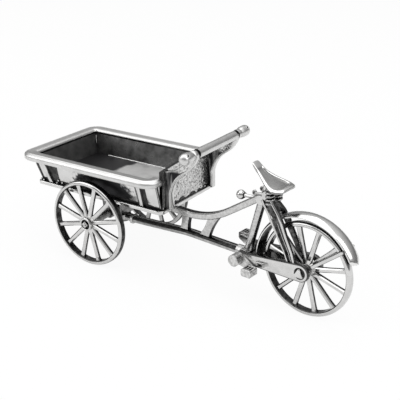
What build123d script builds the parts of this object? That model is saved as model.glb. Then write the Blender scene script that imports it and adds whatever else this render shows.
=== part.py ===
from build123d import *
import os
from math import atan2, cos, degrees, hypot, radians, sin, tan

os.makedirs("parts", exist_ok=True)

# A small cast ornament in the form of a box cargo tricycle.
# Lengths are millimetres and angles are degrees.
# The box points to +X, +Y is its left side and +Z is up.
# Until it is placed at the end, the model has the kingpin on the Z axis and the ground at Z zero.

# Running fits and seats
pin_clearance = 0.05
side_clearance = 0.15
cut_overrun = 2.0

# Wheels: one pattern is used three times
wheel_radius = 12.0
tyre_width = 2.1
tyre_depth = 1.15
tyre_edge_round = 0.7
tyre_round_middle_share = 0.29
spoke_count = 12
spoke_width = 1.2
spoke_depth = 1.15
spoke_bevel = 0.3
hub_radius = 1.85
hub_waist_radius = 1.5
hub_flange_width = 0.55
hub_recess_radius = 1.35
hub_recess_depth = 0.5
journal_radius = 0.65

# Front axle and steering pivot
wheel_side_gap = 0.9
front_hub_length = 3.2
axle_beam_radius = 1.1
nut_height = 0.7
nut_across = 1.5
kingpin_radius = 1.0
kingpin_head_radius = 1.7
kingpin_head_height = 0.6
eye_radius = 2.1
bolster_length = 3.0
bolster_width = 6.4
hanger_thickness = 1.0
hanger_inset = 6.8
hanger_top_length = 5.0
hanger_foot_length = 3.2

# Steering at rest, as photographed: the rear frame is turned this far about the kingpin
steer_at_rest = -6.3

# Tray: base plate, floor, flared walls, rear board and rolled rim
base_front = 20.3
base_rear = 22.9
base_half_width = 12.8
base_over_axle = 7.6
base_thickness = 0.9
base_corner_radius = 1.6
ledge_width = 1.2
wall_thickness = 0.9
floor_thickness = 1.5
flare_out = 1.7
tray_depth = 8.6
rim_width = 3.7
rim_height = 1.9
rim_edge_drop = 0.5
rim_lip = 0.5
rim_corner_radius = 2.4
board_rise = 10.3
board_crown = 0.7

# Ribs on the side walls
rib_width = 1.1
rib_stand_out = 0.9
front_rib_inset = 3.0
front_rib_lean = 2.6
rear_rib_ahead = 7.9

# Handlebar and its two curved brackets
bracket_thickness = 1.6
bracket_inset = 1.9
bracket_foot_depth = 1.85
bracket_waist_rise = 4.6
bracket_belly_back = 6.5
bracket_belly_rise = 11.1
bracket_bow = 0.9
bracket_bow_share = 0.7
bracket_head_radius = 1.8
handlebar_back = 8.6
handlebar_rise = 16.1
handlebar_radius = 1.2
groove_width = 0.5
groove_depth = 0.35
grip_length = 4.3
grip_radius = 1.5
grip_dimple_radius = 0.45

# Rear frame
wheelbase = 61.3
reach_front_drop = 3.0
reach_drop = 1.15
reach_knee_back = 23.0
reach_bend_radius = 12.0
reach_height = 1.5
reach_width = 2.0
collar_gap = 0.3
collar_length = 0.9
collar_stand_out = 0.4
backbone_over_axle = 4.3
backbone_height = 1.8
backbone_width = 2.0
backbone_knee_ahead = 16.4
backbone_end_rise = 0.7
backbone_bend_radius = 25.0
strut_thickness = 1.4
front_strut_end_width = 3.0
front_strut_waist = 2.1
front_strut_head_back = 24.2
front_strut_foot_back = 23.3
rear_strut_end_width = 3.4
rear_strut_waist = 2.3
rear_strut_head_ahead = 10.2
rear_strut_foot_ahead = 14.0
crank_ahead_of_wheel = 5.4
crank_drop = 1.2
shell_radius = 1.6
shell_lug_radius = 1.4
shell_lug_length = 1.3
seat_tube_radius = 1.05
cluster_ahead_of_wheel = 1.3
cluster_above_wheel = 2.4
cluster_radius = 1.25
cluster_half_length = 1.3
stay_radius = 0.7
stay_knee_gap = 3.0
stay_knee_angle = 44.0
stay_foot_ahead = 3.3
stay_foot_rise = 0.6
stay_plate_thickness = 1.2
stay_plate_front_radius = 1.35
stay_plate_rear_radius = 2.3
rear_hub_length = 4.0
rear_nut_radius = 1.35

# Mudguard over the rear wheel
guard_gap = 1.1
guard_thickness = 0.6
guard_crown = 0.5
guard_side_gap = 0.15
guard_front_angle = -6.0
guard_rear_angle = 158.0
guard_end_round = 1.6
guard_stay_angle = 141.0
guard_stay_width = 0.9
guard_stay_thickness = 0.6
bridge_angle = 52.0
bridge_radius = 0.5

# Crank and pedals, cast in one with the frame
crank_axle_radius = 0.8
crank_reach = 4.8
crank_angle = 20.0
crank_arm_thickness = 0.8
crank_boss_radius = 1.5
crank_boss_stand_out = 2.0
crank_tip_radius = 0.8
pedal_length = 2.8
pedal_width = 2.9
pedal_height = 2.0
pedal_slot_width = 0.45
pedal_slot_depth = 0.5
pedal_slot_count = 3

# Saddle, its post, springs and the ball-ended lever
saddle_rear_back = 7.3
saddle_rear_rise = 3.9
saddle_nose_ahead = 2.6
saddle_nose_rise = 8.5
saddle_sag = 1.25
saddle_thickness = 0.9
saddle_dish_depth = 0.35
saddle_half_width = 3.7
saddle_waist_half_width = 1.9
saddle_nose_half_width = 1.0
saddle_edge = 0.7
saddle_corner_radius = 0.9
post_radius = 0.75
clamp_radius = 1.1
clamp_half_length = 2.1
clamp_drop = 3.2
clamp_setback = 1.3
spring_radius = 1.25
spring_groove = 0.3
spring_coil_count = 5
spring_coil_height = 1.05
spring_y = 1.55
rail_radius = 0.4
rail_curl_radius = 0.65
rail_length = 3.5
ball_radius = 0.95
lever_radius = 0.4
lever_ahead = 6.5
lever_drop = 0.5


def turned_along_y(section, angle=360.0):
    """Revolve a section drawn in the X-Y plane (X is the radius, Y the axle direction)."""
    return revolve(section, axis=Axis.Y, revolution_arc=angle)


def rod(start, end, radius):
    """A round bar between two points."""
    run = Vector(*end) - Vector(*start)
    return Plane(origin=start, z_dir=run) * extrude(Circle(radius), run.length)


def y_cylinder(x, z, radius, y_low, y_high):
    """A round bar along Y between two Y values."""
    return rod((x, y_low, z), (x, y_high, z), radius)


def side_plate(outline, y_low, y_high):
    """Thicken an outline drawn in X and Z between two Y values."""
    plane = Plane(origin=(0, y_low, 0), x_dir=(1, 0, 0), z_dir=(0, -1, 0))
    return plane * extrude(outline, -(y_high - y_low))


def mirrored(solid):
    """The same solid on the other side of the X-Z plane."""
    return mirror(solid, about=Plane.XZ)


def link_outline(x_1, z_1, radius_1, x_2, z_2, radius_2):
    """Two circles in X and Z joined by their outer tangents."""
    run = hypot(x_2 - x_1, z_2 - z_1)
    tilt = degrees(atan2(z_2 - z_1, x_2 - x_1))
    offset = degrees(atan2(radius_1 - radius_2, (run**2 - (radius_1 - radius_2) ** 2) ** 0.5))
    corners = []
    for side in (1, -1):
        angle = radians(tilt + side * (90.0 - offset))
        corners.append((x_1 + radius_1 * cos(angle), z_1 + radius_1 * sin(angle)))
        corners.append((x_2 + radius_2 * cos(angle), z_2 + radius_2 * sin(angle)))
    body = make_face(Polyline(corners[0], corners[1], corners[3], corners[2], close=True))
    ends = Pos(x_1, z_1) * Circle(radius_1) + Pos(x_2, z_2) * Circle(radius_2)
    return body + ends


# Wheels
def tyre_ring():
    """A flat-sided ring whose two outer edges are rounded off in two steps."""
    inner_radius = wheel_radius - tyre_depth
    half = tyre_width / 2
    step = tyre_edge_round * tyre_round_middle_share
    corners = [
        (inner_radius, half),
        (wheel_radius - tyre_edge_round, half),
        (wheel_radius - step, half - step),
        (wheel_radius, half - tyre_edge_round),
    ]
    corners += [(radius, -y) for radius, y in reversed(corners)]
    return turned_along_y(make_face(Polyline(*corners, close=True)))


def spoke_spider(hub_length):
    """Hub and bevelled bar spokes in one casting, ending on the inside of the tyre ring."""
    inner_radius = wheel_radius - tyre_depth
    half = hub_length / 2
    bore_radius = journal_radius + pin_clearance
    profile = Polyline(
        (bore_radius, -half),
        (hub_radius, -half),
        (hub_radius, -half + hub_flange_width),
        (hub_waist_radius, -half + 2 * hub_flange_width),
        (hub_waist_radius, half - 2 * hub_flange_width),
        (hub_radius, half - hub_flange_width),
        (hub_radius, half),
        (hub_recess_radius, half),
        (hub_recess_radius, half - hub_recess_depth),
        (bore_radius, half - hub_recess_depth),
        close=True,
    )
    hub = turned_along_y(make_face(profile))
    section = Rectangle(spoke_width, spoke_depth)
    section = chamfer(section.vertices(), spoke_bevel)
    spoke = Pos(0, 0, journal_radius) * extrude(section, wheel_radius - journal_radius)
    spokes = [Rot(0, (index + 1 / 2) * 360 / spoke_count, 0) * spoke for index in range(spoke_count)]
    inside = y_cylinder(0, 0, inner_radius, -tyre_width, tyre_width)
    bore = y_cylinder(0, 0, bore_radius, -hub_length, hub_length)
    wheel = hub
    for item in spokes:
        wheel = wheel + (item & inside)
    return wheel - bore


def square_nut(x, z, y_face, outward):
    """A square nut standing on its corner, with its inner face at y_face."""
    shape = Rot(0, 0, 45) * RectangleRounded(nut_across, nut_across, nut_across / 6)
    low, high = sorted((y_face, y_face + outward * nut_height))
    return side_plate(Pos(x, z) * shape, low, high)


# Places that the pieces share
axle_z = wheel_radius
base_top = axle_z + base_over_axle
rim_top = base_top + tray_depth
wall_foot_y = base_half_width - ledge_width
wall_foot_x = base_front - ledge_width
board_rear_x = -(base_rear - ledge_width / 3)
board_half_width = wall_foot_y
board_top = base_top + board_rise
front_wheel_y = base_half_width + wheel_side_gap + tyre_width / 2
reach_z = axle_z - reach_drop
reach_front_z = axle_z - reach_front_drop
backbone_z = axle_z + backbone_over_axle
axle_x = -wheelbase
crank_x = axle_x + wheel_radius + crank_ahead_of_wheel
crank_z = axle_z - crank_drop
cluster_x = axle_x + wheel_radius + cluster_ahead_of_wheel
cluster_z = axle_z + wheel_radius + cluster_above_wheel
backbone_end_z = cluster_z + backbone_end_rise
backbone_knee_x = cluster_x + backbone_knee_ahead

front_hub_inner = front_wheel_y - front_hub_length / 2
front_hub_outer = front_wheel_y + front_hub_length / 2
front_nut_face = front_hub_outer - hub_recess_depth + side_clearance
solids = {}
rear_solids = {}

tyre = tyre_ring()
front_spider = spoke_spider(front_hub_length)
rear_spider = spoke_spider(rear_hub_length)
for side_name, side in (("left", 1), ("right", -1)):
    turn = Rot(0, 0, 0) if side > 0 else Rot(0, 0, 180)
    place = Pos(0, side * front_wheel_y, axle_z) * turn
    solids[f"front_{side_name}_tyre"] = place * tyre
    solids[f"front_{side_name}_spokes"] = place * front_spider
rear_place = Pos(axle_x, 0, axle_z)
rear_solids["rear_tyre"] = rear_place * tyre
rear_solids["rear_spokes"] = rear_place * rear_spider

# Front axle: one rod from nut to nut, thicker between the bolster and each wheel
beam_end = front_hub_inner - side_clearance
beam = y_cylinder(0, axle_z, axle_beam_radius, bolster_width / 2, beam_end)
front_axle = y_cylinder(0, axle_z, journal_radius, -front_nut_face, front_nut_face)
front_axle = front_axle + beam + mirrored(beam)
front_nuts = square_nut(0, axle_z, front_nut_face, 1) + square_nut(0, axle_z, -front_nut_face, -1)

# Steering pivot, from the kingpin's head up to the base plate
base_bottom = base_top - base_thickness
lower_eye_bottom = reach_front_z - reach_height / 2
lower_eye_top = reach_front_z + reach_height / 2
upper_eye_bottom = backbone_z - backbone_height / 2
upper_eye_top = backbone_z + backbone_height / 2
bolster_bottom = lower_eye_top + side_clearance
bolster_top = upper_eye_bottom - side_clearance
pivot_plate_bottom = upper_eye_top + side_clearance
kingpin_head_top = lower_eye_bottom - side_clearance
kingpin = Pos(0, 0, kingpin_head_top) * extrude(Circle(kingpin_radius), base_bottom - kingpin_head_top)
head = Pos(0, 0, kingpin_head_top) * extrude(Circle(kingpin_head_radius), -kingpin_head_height)
head = fillet(head.edges().sort_by(Axis.Z)[0], kingpin_head_height / 2)
kingpin = kingpin + head - front_axle
bolster = Pos(0, 0, bolster_bottom) * extrude(
    RectangleRounded(bolster_length, bolster_width, bolster_length / 6), bolster_top - bolster_bottom
)
bolster = bolster - kingpin - front_axle
pivot_plate = Pos(0, 0, pivot_plate_bottom) * extrude(Circle(eye_radius), base_bottom - pivot_plate_bottom)
pivot_plate = pivot_plate - kingpin

# Two hangers carry the axle below the base plate, one on each side of the bolster
hanger_y = base_half_width - hanger_inset
hanger_outline = make_face(
    Polyline(
        (-hanger_top_length / 2, base_bottom),
        (hanger_top_length / 2, base_bottom),
        (hanger_foot_length / 2, axle_z),
        (-hanger_foot_length / 2, axle_z),
        close=True,
    )
)
hanger_outline = hanger_outline + Pos(0, axle_z) * Circle(hanger_foot_length / 2)
hanger = side_plate(hanger_outline, hanger_y - hanger_thickness / 2, hanger_y + hanger_thickness / 2)
hanger = hanger - front_axle
solids["front_axle"] = front_axle
solids["front_axle_nuts"] = front_nuts
solids["kingpin"] = kingpin
solids["axle_bolster"] = bolster
solids["pivot_plate"] = pivot_plate
solids["axle_hangers"] = hanger + mirrored(hanger)

# Base plate under the tray, standing out as a ledge
base_length = base_front + base_rear
base_middle = (base_front - base_rear) / 2
base_plate = Pos(base_middle, 0, base_bottom) * extrude(
    RectangleRounded(base_length, 2 * base_half_width, base_corner_radius), base_thickness
)
base_plate = fillet(base_plate.faces().sort_by(Axis.Z)[-1].edges(), base_thickness / 4)
solids["base_plate"] = base_plate

# Flared walls, mitred at the front corners and closed by the rear board
board_front_x = board_rear_x + wall_thickness
wall_head_z = rim_top - rim_height + rim_lip
wall_head_y = wall_foot_y + flare_out
wall_head_x = wall_foot_x + flare_out


def flared_shell(inset):
    """The tray's outer form moved inwards, as a loft from the foot to the head."""
    layers = []
    for reach_x, reach_y, height in (
        (wall_foot_x, wall_foot_y, base_top),
        (wall_head_x, wall_head_y, wall_head_z),
    ):
        length = reach_x - inset - board_front_x
        middle = (reach_x - inset + board_front_x) / 2
        layers.append(Pos(middle, 0, height) * Rectangle(length, 2 * (reach_y - inset)))
    return loft(layers)


shell = flared_shell(0) - flared_shell(wall_thickness)


def corner_wedge():
    """The space in front of both mitre planes, which run up the two front corners."""
    head_rise = wall_head_z - base_top
    slant = flare_out / head_rise
    low = base_top - cut_overrun
    high = wall_head_z + cut_overrun
    layers = []
    for height in (low, high):
        shift = slant * (height - base_top)
        tip_x = wall_foot_x + shift
        tip_y = wall_foot_y + shift
        layers.append(
            Pos(0, 0, height)
            * make_face(
                Polyline(
                    (tip_x - tip_y, 0),
                    (tip_x + cut_overrun, tip_y + cut_overrun),
                    (tip_x + cut_overrun, -tip_y - cut_overrun),
                    close=True,
                )
            )
        )
    return loft(layers)


wedge = corner_wedge()
front_wall = shell & wedge
side_walls = shell - wedge
left_wall = side_walls.solids().sort_by(Axis.Y)[-1]
right_wall = side_walls.solids().sort_by(Axis.Y)[0]
tray_floor = flared_shell(wall_thickness) & (
    Pos(base_middle, 0, base_top)
    * extrude(Rectangle(2 * base_length, 4 * base_half_width), floor_thickness)
)
board_outline = make_face(
    Line((-board_half_width, base_top), (board_half_width, base_top))
    + Line((board_half_width, base_top), (board_half_width, board_top))
    + ThreePointArc(
        (board_half_width, board_top), (0, board_top + board_crown), (-board_half_width, board_top)
    )
    + Line((-board_half_width, board_top), (-board_half_width, base_top))
)
board_plane = Plane(origin=(board_rear_x, 0, 0), x_dir=(0, 1, 0), z_dir=(1, 0, 0))
rear_board = board_plane * extrude(board_outline, wall_thickness)
solids["tray_floor"] = tray_floor
solids["tray_front_wall"] = front_wall
solids["tray_left_wall"] = left_wall
solids["tray_right_wall"] = right_wall
solids["tray_rear_board"] = rear_board

# Rolled rim: one convex rail along both sides and the front
rail_y = wall_head_y - wall_thickness + rim_width / 2
rail_x = wall_head_x - wall_thickness + rim_width / 2
rim_path = FilletPolyline(
    (board_rear_x + rim_width / 2, board_half_width - wall_thickness, rim_top),
    (board_rear_x + rim_width / 2, rail_y, rim_top),
    (rail_x, rail_y, rim_top),
    (rail_x, -rail_y, rim_top),
    (board_rear_x + rim_width / 2, -rail_y, rim_top),
    (board_rear_x + rim_width / 2, -board_half_width + wall_thickness, rim_top),
    radius=rim_corner_radius,
)
half_rim = rim_width / 2
rim_section = make_face(
    ThreePointArc((-half_rim, -rim_edge_drop), (0, 0), (half_rim, -rim_edge_drop))
    + Line((half_rim, -rim_edge_drop), (half_rim, -rim_height + rim_lip))
    + Line((half_rim, -rim_height + rim_lip), (half_rim - rim_lip, -rim_height))
    + Line((half_rim - rim_lip, -rim_height), (rim_lip - half_rim, -rim_height))
    + Line((rim_lip - half_rim, -rim_height), (-half_rim, -rim_height + rim_lip))
    + Line((-half_rim, -rim_height + rim_lip), (-half_rim, -rim_edge_drop))
)
rim_plane = Plane(origin=rim_path @ 0, x_dir=(-1, 0, 0), z_dir=rim_path % 0)
rim = sweep(rim_plane * rim_section, path=rim_path)
rim = rim - front_wall - left_wall - right_wall - rear_board
solids["tray_rim"] = rim.solids().sort_by(SortBy.VOLUME)[-1]


front_rib_x = wall_foot_x - front_rib_inset
rear_rib_x = board_rear_x + rear_rib_ahead


def side_rib(outline):
    """A rib that stands out of a flared side wall, with the given outline in X and Z."""
    skin = flared_shell(-rib_stand_out) - flared_shell(0)
    prism = side_plate(outline, wall_foot_y - wall_thickness, rail_y)
    return (skin & prism) - solids["tray_rim"]


def front_rib_outline():
    """The front rib leans forward as it rises and its rear edge is an S."""
    top_x = front_rib_x + front_rib_lean
    middle_x = front_rib_x + rib_width / 4
    middle_z = (base_top + rim_top) / 2
    swell = rib_width / 3
    edges = (
        Line((front_rib_x + rib_width, base_top), (top_x + rib_width / 2, rim_top))
        + Line((top_x + rib_width / 2, rim_top), (top_x - rib_width, rim_top))
        + ThreePointArc(
            (top_x - rib_width, rim_top),
            ((top_x + middle_x) / 2 - rib_width / 4, (middle_z + rim_top) / 2),
            (middle_x, middle_z),
        )
        + ThreePointArc(
            (middle_x, middle_z),
            ((middle_x + front_rib_x) / 2 + swell, (middle_z + base_top) / 2),
            (front_rib_x, base_top),
        )
        + Line((front_rib_x, base_top), (front_rib_x + rib_width, base_top))
    )
    return make_face(edges)


rear_rib_height = rim_top - base_top
rear_rib_outline = Pos(rear_rib_x, base_top + rear_rib_height / 2) * Rectangle(rib_width, rear_rib_height)
ribs_left = side_rib(front_rib_outline()) + side_rib(rear_rib_outline)
solids["side_ribs_left"] = ribs_left
solids["side_ribs_right"] = mirrored(ribs_left)

# Handlebar brackets: plates whose rear edge rises straight, swings back and turns up again
bracket_y = board_half_width - bracket_inset
bracket_foot_x = board_rear_x - bracket_foot_depth
bracket_waist_z = base_top + bracket_waist_rise
bracket_belly_x = board_rear_x - bracket_belly_back
bracket_belly_z = base_top + bracket_belly_rise
handlebar_x = board_rear_x - handlebar_back
handlebar_z = base_top + handlebar_rise
bar_end = bracket_y + bracket_thickness / 2
bar = y_cylinder(handlebar_x, handlebar_z, handlebar_radius, -bar_end, bar_end)
lower_mid = ((bracket_foot_x + bracket_belly_x) / 2, (bracket_waist_z + bracket_belly_z) / 2)
head_rear_x = handlebar_x - bracket_head_radius
head_front_x = handlebar_x + bracket_head_radius
upper_mid = ((head_rear_x + bracket_belly_x) / 2, (handlebar_z + bracket_belly_z) / 2)
bracket_outline = make_face(
    Line((board_rear_x, base_top), (bracket_foot_x, base_top))
    + Line((bracket_foot_x, base_top), (bracket_foot_x, bracket_waist_z))
    + ThreePointArc(
        (bracket_foot_x, bracket_waist_z),
        (lower_mid[0] + bracket_bow * bracket_bow_share, lower_mid[1] + bracket_bow * bracket_bow_share),
        (bracket_belly_x, bracket_belly_z),
    )
    + ThreePointArc(
        (bracket_belly_x, bracket_belly_z),
        (upper_mid[0] - bracket_bow / 3, upper_mid[1] - bracket_bow / 3),
        (head_rear_x, handlebar_z),
    )
    + Line((head_rear_x, handlebar_z), (head_front_x, handlebar_z))
    + ThreePointArc(
        (head_front_x, handlebar_z),
        ((head_front_x + board_rear_x) / 2 - bracket_bow, (handlebar_z + board_top) / 2 - bracket_bow),
        (board_rear_x, board_top),
    )
    + Line((board_rear_x, board_top), (board_rear_x, base_top))
)
bracket_outline = bracket_outline + Pos(handlebar_x, handlebar_z) * Circle(bracket_head_radius)
bracket = side_plate(bracket_outline, bracket_y - bracket_thickness / 2, bracket_y + bracket_thickness / 2)
bracket = bracket - bar
solids["handle_bracket_left"] = bracket
solids["handle_bracket_right"] = mirrored(bracket)

# Handlebar with a groove beside each bracket, and a grip with a dimple on each end
grip_start = bar_end + groove_width
grip_end = grip_start + grip_length
core_radius = handlebar_radius - groove_depth
core_end = grip_start + grip_length / 2
core = y_cylinder(handlebar_x, handlebar_z, core_radius, -core_end, core_end)
solids["handlebar"] = bar + core
grip = y_cylinder(handlebar_x, handlebar_z, grip_radius, grip_start, grip_end)
grip = fillet(grip.edges().group_by(Axis.Y)[-1], grip_radius / 2)
grip = fillet(grip.edges().group_by(Axis.Y)[0], groove_depth)
dimple_reach = grip_radius / 2**0.5
dimple = Pos(handlebar_x - dimple_reach, grip_end - grip_length / 3, handlebar_z + dimple_reach) * Sphere(
    grip_dimple_radius
)
grip = grip - core - dimple
solids["handle_grip_left"] = grip
solids["handle_grip_right"] = mirrored(grip)

# Rear frame: lower reach bar and upper backbone, each with an eye round the kingpin.
# The reach bar rises from its eye to a knee and runs level from there.
eye_bore = kingpin_radius + pin_clearance
reach_end_x = crank_x + shell_radius + shell_lug_length
reach_section = RectangleRounded(reach_width, reach_height, reach_width / 4)
reach_path = FilletPolyline(
    (0, 0, reach_front_z),
    (-eye_radius - reach_height, 0, reach_front_z),
    (-reach_knee_back, 0, reach_z),
    (reach_end_x, 0, reach_z),
    radius=reach_bend_radius,
)
reach_plane = Plane(origin=reach_path @ 0, x_dir=(0, 1, 0), z_dir=reach_path % 0)
reach = sweep(reach_plane * reach_section, path=reach_path)
eye = Pos(0, 0, lower_eye_bottom) * extrude(Circle(eye_radius) - Circle(eye_bore), reach_height)
bore = Pos(0, 0, lower_eye_bottom - cut_overrun) * extrude(Circle(eye_bore), reach_height + 2 * cut_overrun)
reach = reach - bore + eye
collar_x = -hypot(bolster_length / 2, bolster_width / 2) - collar_gap
collar_section = RectangleRounded(
    reach_width + 2 * collar_stand_out, reach_height + 2 * collar_stand_out, reach_width / 4
)
collar = Plane(origin=(collar_x, 0, reach_front_z), x_dir=(0, 1, 0), z_dir=(-1, 0, 0)) * extrude(
    collar_section, collar_length
)
collar = collar - reach
rear_solids["reach_bar"] = reach
rear_solids["reach_collar"] = collar

cluster = y_cylinder(cluster_x, cluster_z, cluster_radius, -cluster_half_length, cluster_half_length)
backbone_path = FilletPolyline(
    (0, 0, backbone_z),
    (backbone_knee_x, 0, backbone_z),
    (cluster_x, 0, backbone_end_z),
    radius=backbone_bend_radius,
)
backbone_plane = Plane(origin=backbone_path @ 0, x_dir=(0, 1, 0), z_dir=backbone_path % 0)
backbone_section = RectangleRounded(backbone_width, backbone_height, backbone_height / 4)
backbone = sweep(backbone_plane * backbone_section, path=backbone_path)
upper_eye = Pos(0, 0, upper_eye_bottom) * extrude(Circle(eye_radius) - Circle(eye_bore), backbone_height)
upper_bore = Pos(0, 0, upper_eye_bottom - cut_overrun) * extrude(
    Circle(eye_bore), backbone_height + 2 * cut_overrun
)
backbone = backbone - upper_bore + upper_eye - cluster
backbone = backbone.solids().sort_by(SortBy.VOLUME)[-1]
rear_solids["backbone"] = backbone


def backbone_z_at(x):
    """Height of the backbone's middle line: straight, then a bend, then a slope to the saddle."""
    slope = atan2(backbone_end_z - backbone_z, backbone_knee_x - cluster_x)
    bend_start = backbone_knee_x + backbone_bend_radius * tan(slope / 2)
    bend_end = bend_start - backbone_bend_radius * sin(slope)
    if x > bend_start:
        return backbone_z
    if x > bend_end:
        return backbone_z + backbone_bend_radius - (backbone_bend_radius**2 - (bend_start - x) ** 2) ** 0.5
    return backbone_z + (backbone_knee_x - x) * tan(slope)


def strut(head_x, foot_x, end_width, waist):
    """A waisted flat bar from inside the backbone down to inside the reach bar, trimmed to both."""
    head_z = backbone_z_at(head_x)
    middle_x = (head_x + foot_x) / 2
    middle_z = (head_z + reach_z) / 2
    head_rear, head_front = (head_x - end_width / 2, head_z), (head_x + end_width / 2, head_z)
    foot_rear, foot_front = (foot_x - end_width / 2, reach_z), (foot_x + end_width / 2, reach_z)
    outline = make_face(
        Line(head_rear, head_front)
        + ThreePointArc(head_front, (middle_x + waist / 2, middle_z), foot_front)
        + Line(foot_front, foot_rear)
        + ThreePointArc(foot_rear, (middle_x - waist / 2, middle_z), head_rear)
    )
    flat_bar = side_plate(outline, -strut_thickness / 2, strut_thickness / 2)
    flat_bar = flat_bar - backbone - reach
    return flat_bar.solids().sort_by(SortBy.VOLUME)[-1]


rear_solids["strut_front"] = strut(
    -front_strut_head_back, -front_strut_foot_back, front_strut_end_width, front_strut_waist
)
rear_solids["strut_rear"] = strut(
    crank_x + rear_strut_head_ahead, crank_x + rear_strut_foot_ahead, rear_strut_end_width, rear_strut_waist
)

# Bottom bracket, seat tube and the stays that hold the rear wheel
plate_inner = rear_hub_length / 2 + side_clearance
plate_outer = plate_inner + stay_plate_thickness
stay_y = plate_inner + stay_plate_thickness / 2
crank_axle_end = plate_outer + crank_arm_thickness
shell_solid = y_cylinder(crank_x, crank_z, shell_radius, -plate_inner, plate_inner)
lug = rod((crank_x, 0, reach_z), (reach_end_x, 0, reach_z), shell_lug_radius)
crank_axle = y_cylinder(crank_x, crank_z, crank_axle_radius, -crank_axle_end, crank_axle_end)
bottom_bracket = shell_solid + lug - crank_axle
seat_tube = rod((crank_x, 0, crank_z), (cluster_x, 0, cluster_z), seat_tube_radius)
seat_tube = seat_tube - shell_solid - lug - cluster - backbone
seat_tube = seat_tube.solids().sort_by(SortBy.VOLUME)[-1]
rear_solids["bottom_bracket"] = bottom_bracket
rear_solids["seat_tube"] = seat_tube

plate_outline = link_outline(
    crank_x, crank_z, stay_plate_front_radius, axle_x, axle_z, stay_plate_rear_radius
)
chain_stay = side_plate(plate_outline, plate_inner, plate_outer)
stay_edges = chain_stay.faces().filter_by(Axis.Y).sort_by(Axis.Y)[-1].edges()
chain_stay = fillet(stay_edges, stay_plate_thickness / 4)
rear_axle = y_cylinder(axle_x, axle_z, journal_radius, -plate_outer, plate_outer)
stay_with_bores = chain_stay - crank_axle - rear_axle
rear_solids["chain_stay_left"] = stay_with_bores
rear_solids["chain_stay_right"] = mirrored(stay_with_bores)
rear_solids["rear_axle"] = rear_axle
rear_nut = RegularPolygon(rear_nut_radius, 3, rotation=90)
rear_nut = fillet(rear_nut.vertices(), rear_nut_radius / 4)
rear_nut = side_plate(Pos(axle_x, axle_z) * rear_nut, plate_outer, plate_outer + nut_height)
rear_solids["rear_axle_nuts"] = rear_nut + mirrored(rear_nut)

stay_foot_x = axle_x + stay_foot_ahead
stay_foot_z = axle_z + stay_foot_rise
stay_knee_radius = wheel_radius + stay_knee_gap
knee_x = axle_x + stay_knee_radius * cos(radians(stay_knee_angle))
knee_z = axle_z + stay_knee_radius * sin(radians(stay_knee_angle))
stay_head_y = cluster_half_length - stay_radius
stay_upper = rod((cluster_x, stay_head_y, cluster_z), (knee_x, stay_y, knee_z), stay_radius)
stay_lower = rod((knee_x, stay_y, knee_z), (stay_foot_x, stay_y, stay_foot_z), stay_radius)
stay_ball = Pos(knee_x, stay_y, knee_z) * Sphere(stay_radius)
seat_stay = stay_upper + stay_ball + stay_lower - cluster - seat_tube - chain_stay
seat_stay = seat_stay.solids().sort_by(SortBy.VOLUME)[-1]
rear_solids["seat_stays"] = seat_stay + mirrored(seat_stay)

# Mudguard: a crowned strip turned about the rear axle, with rounded ends
guard_half_width = plate_inner - guard_side_gap
guard_edge_radius = wheel_radius + guard_gap
guard_inner_crown = guard_edge_radius + guard_crown
guard_outer_edge = guard_edge_radius + guard_thickness
guard_outer_crown = guard_inner_crown + guard_thickness
guard_section = make_face(
    ThreePointArc(
        (guard_edge_radius, -guard_half_width), (guard_inner_crown, 0), (guard_edge_radius, guard_half_width)
    )
    + Line((guard_edge_radius, guard_half_width), (guard_outer_edge, guard_half_width))
    + ThreePointArc(
        (guard_outer_edge, guard_half_width), (guard_outer_crown, 0), (guard_outer_edge, -guard_half_width)
    )
    + Line((guard_outer_edge, -guard_half_width), (guard_edge_radius, -guard_half_width))
)
guard_span = guard_rear_angle - guard_front_angle
guard = Rot(0, -guard_front_angle, 0) * revolve(guard_section, axis=Axis.Y, revolution_arc=-guard_span)
short_edges = [
    edge
    for edge in guard.edges()
    if edge.length < 2 * guard_thickness and abs(edge.center().Y) > guard_half_width / 2
]
guard = fillet(short_edges, guard_end_round)
guard = Pos(axle_x, 0, axle_z) * guard
rear_solids["mudguard"] = guard


def from_axle(angle, radius):
    """X and Z of a point at an angle and distance from the rear axle."""
    return (axle_x + radius * cos(radians(angle)), axle_z + radius * sin(radians(angle)))


stay_run = guard_outer_edge
stay_flat = Pos(stay_run / 2, 0) * Rectangle(stay_run, guard_stay_width)
stay_flat = Pos(axle_x, axle_z) * Rot(0, 0, guard_stay_angle) * stay_flat
guard_stay = side_plate(stay_flat, guard_half_width, guard_half_width + guard_stay_thickness)
guard_stay = guard_stay - chain_stay - side_plate(plate_outline, 0, plate_outer)
guard_stay = guard_stay.solids().sort_by(SortBy.VOLUME)[-1]
rear_solids["mudguard_stays"] = guard_stay + mirrored(guard_stay)

bridge_x, bridge_z = from_axle(bridge_angle, guard_outer_crown + bridge_radius)
bridge = y_cylinder(bridge_x, bridge_z, bridge_radius, -stay_y, stay_y)
bridge = bridge - seat_stay - mirrored(seat_stay)
bridge = bridge.solids().sort_by(SortBy.VOLUME)[-1]
rear_solids["stay_bridge"] = bridge

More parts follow.
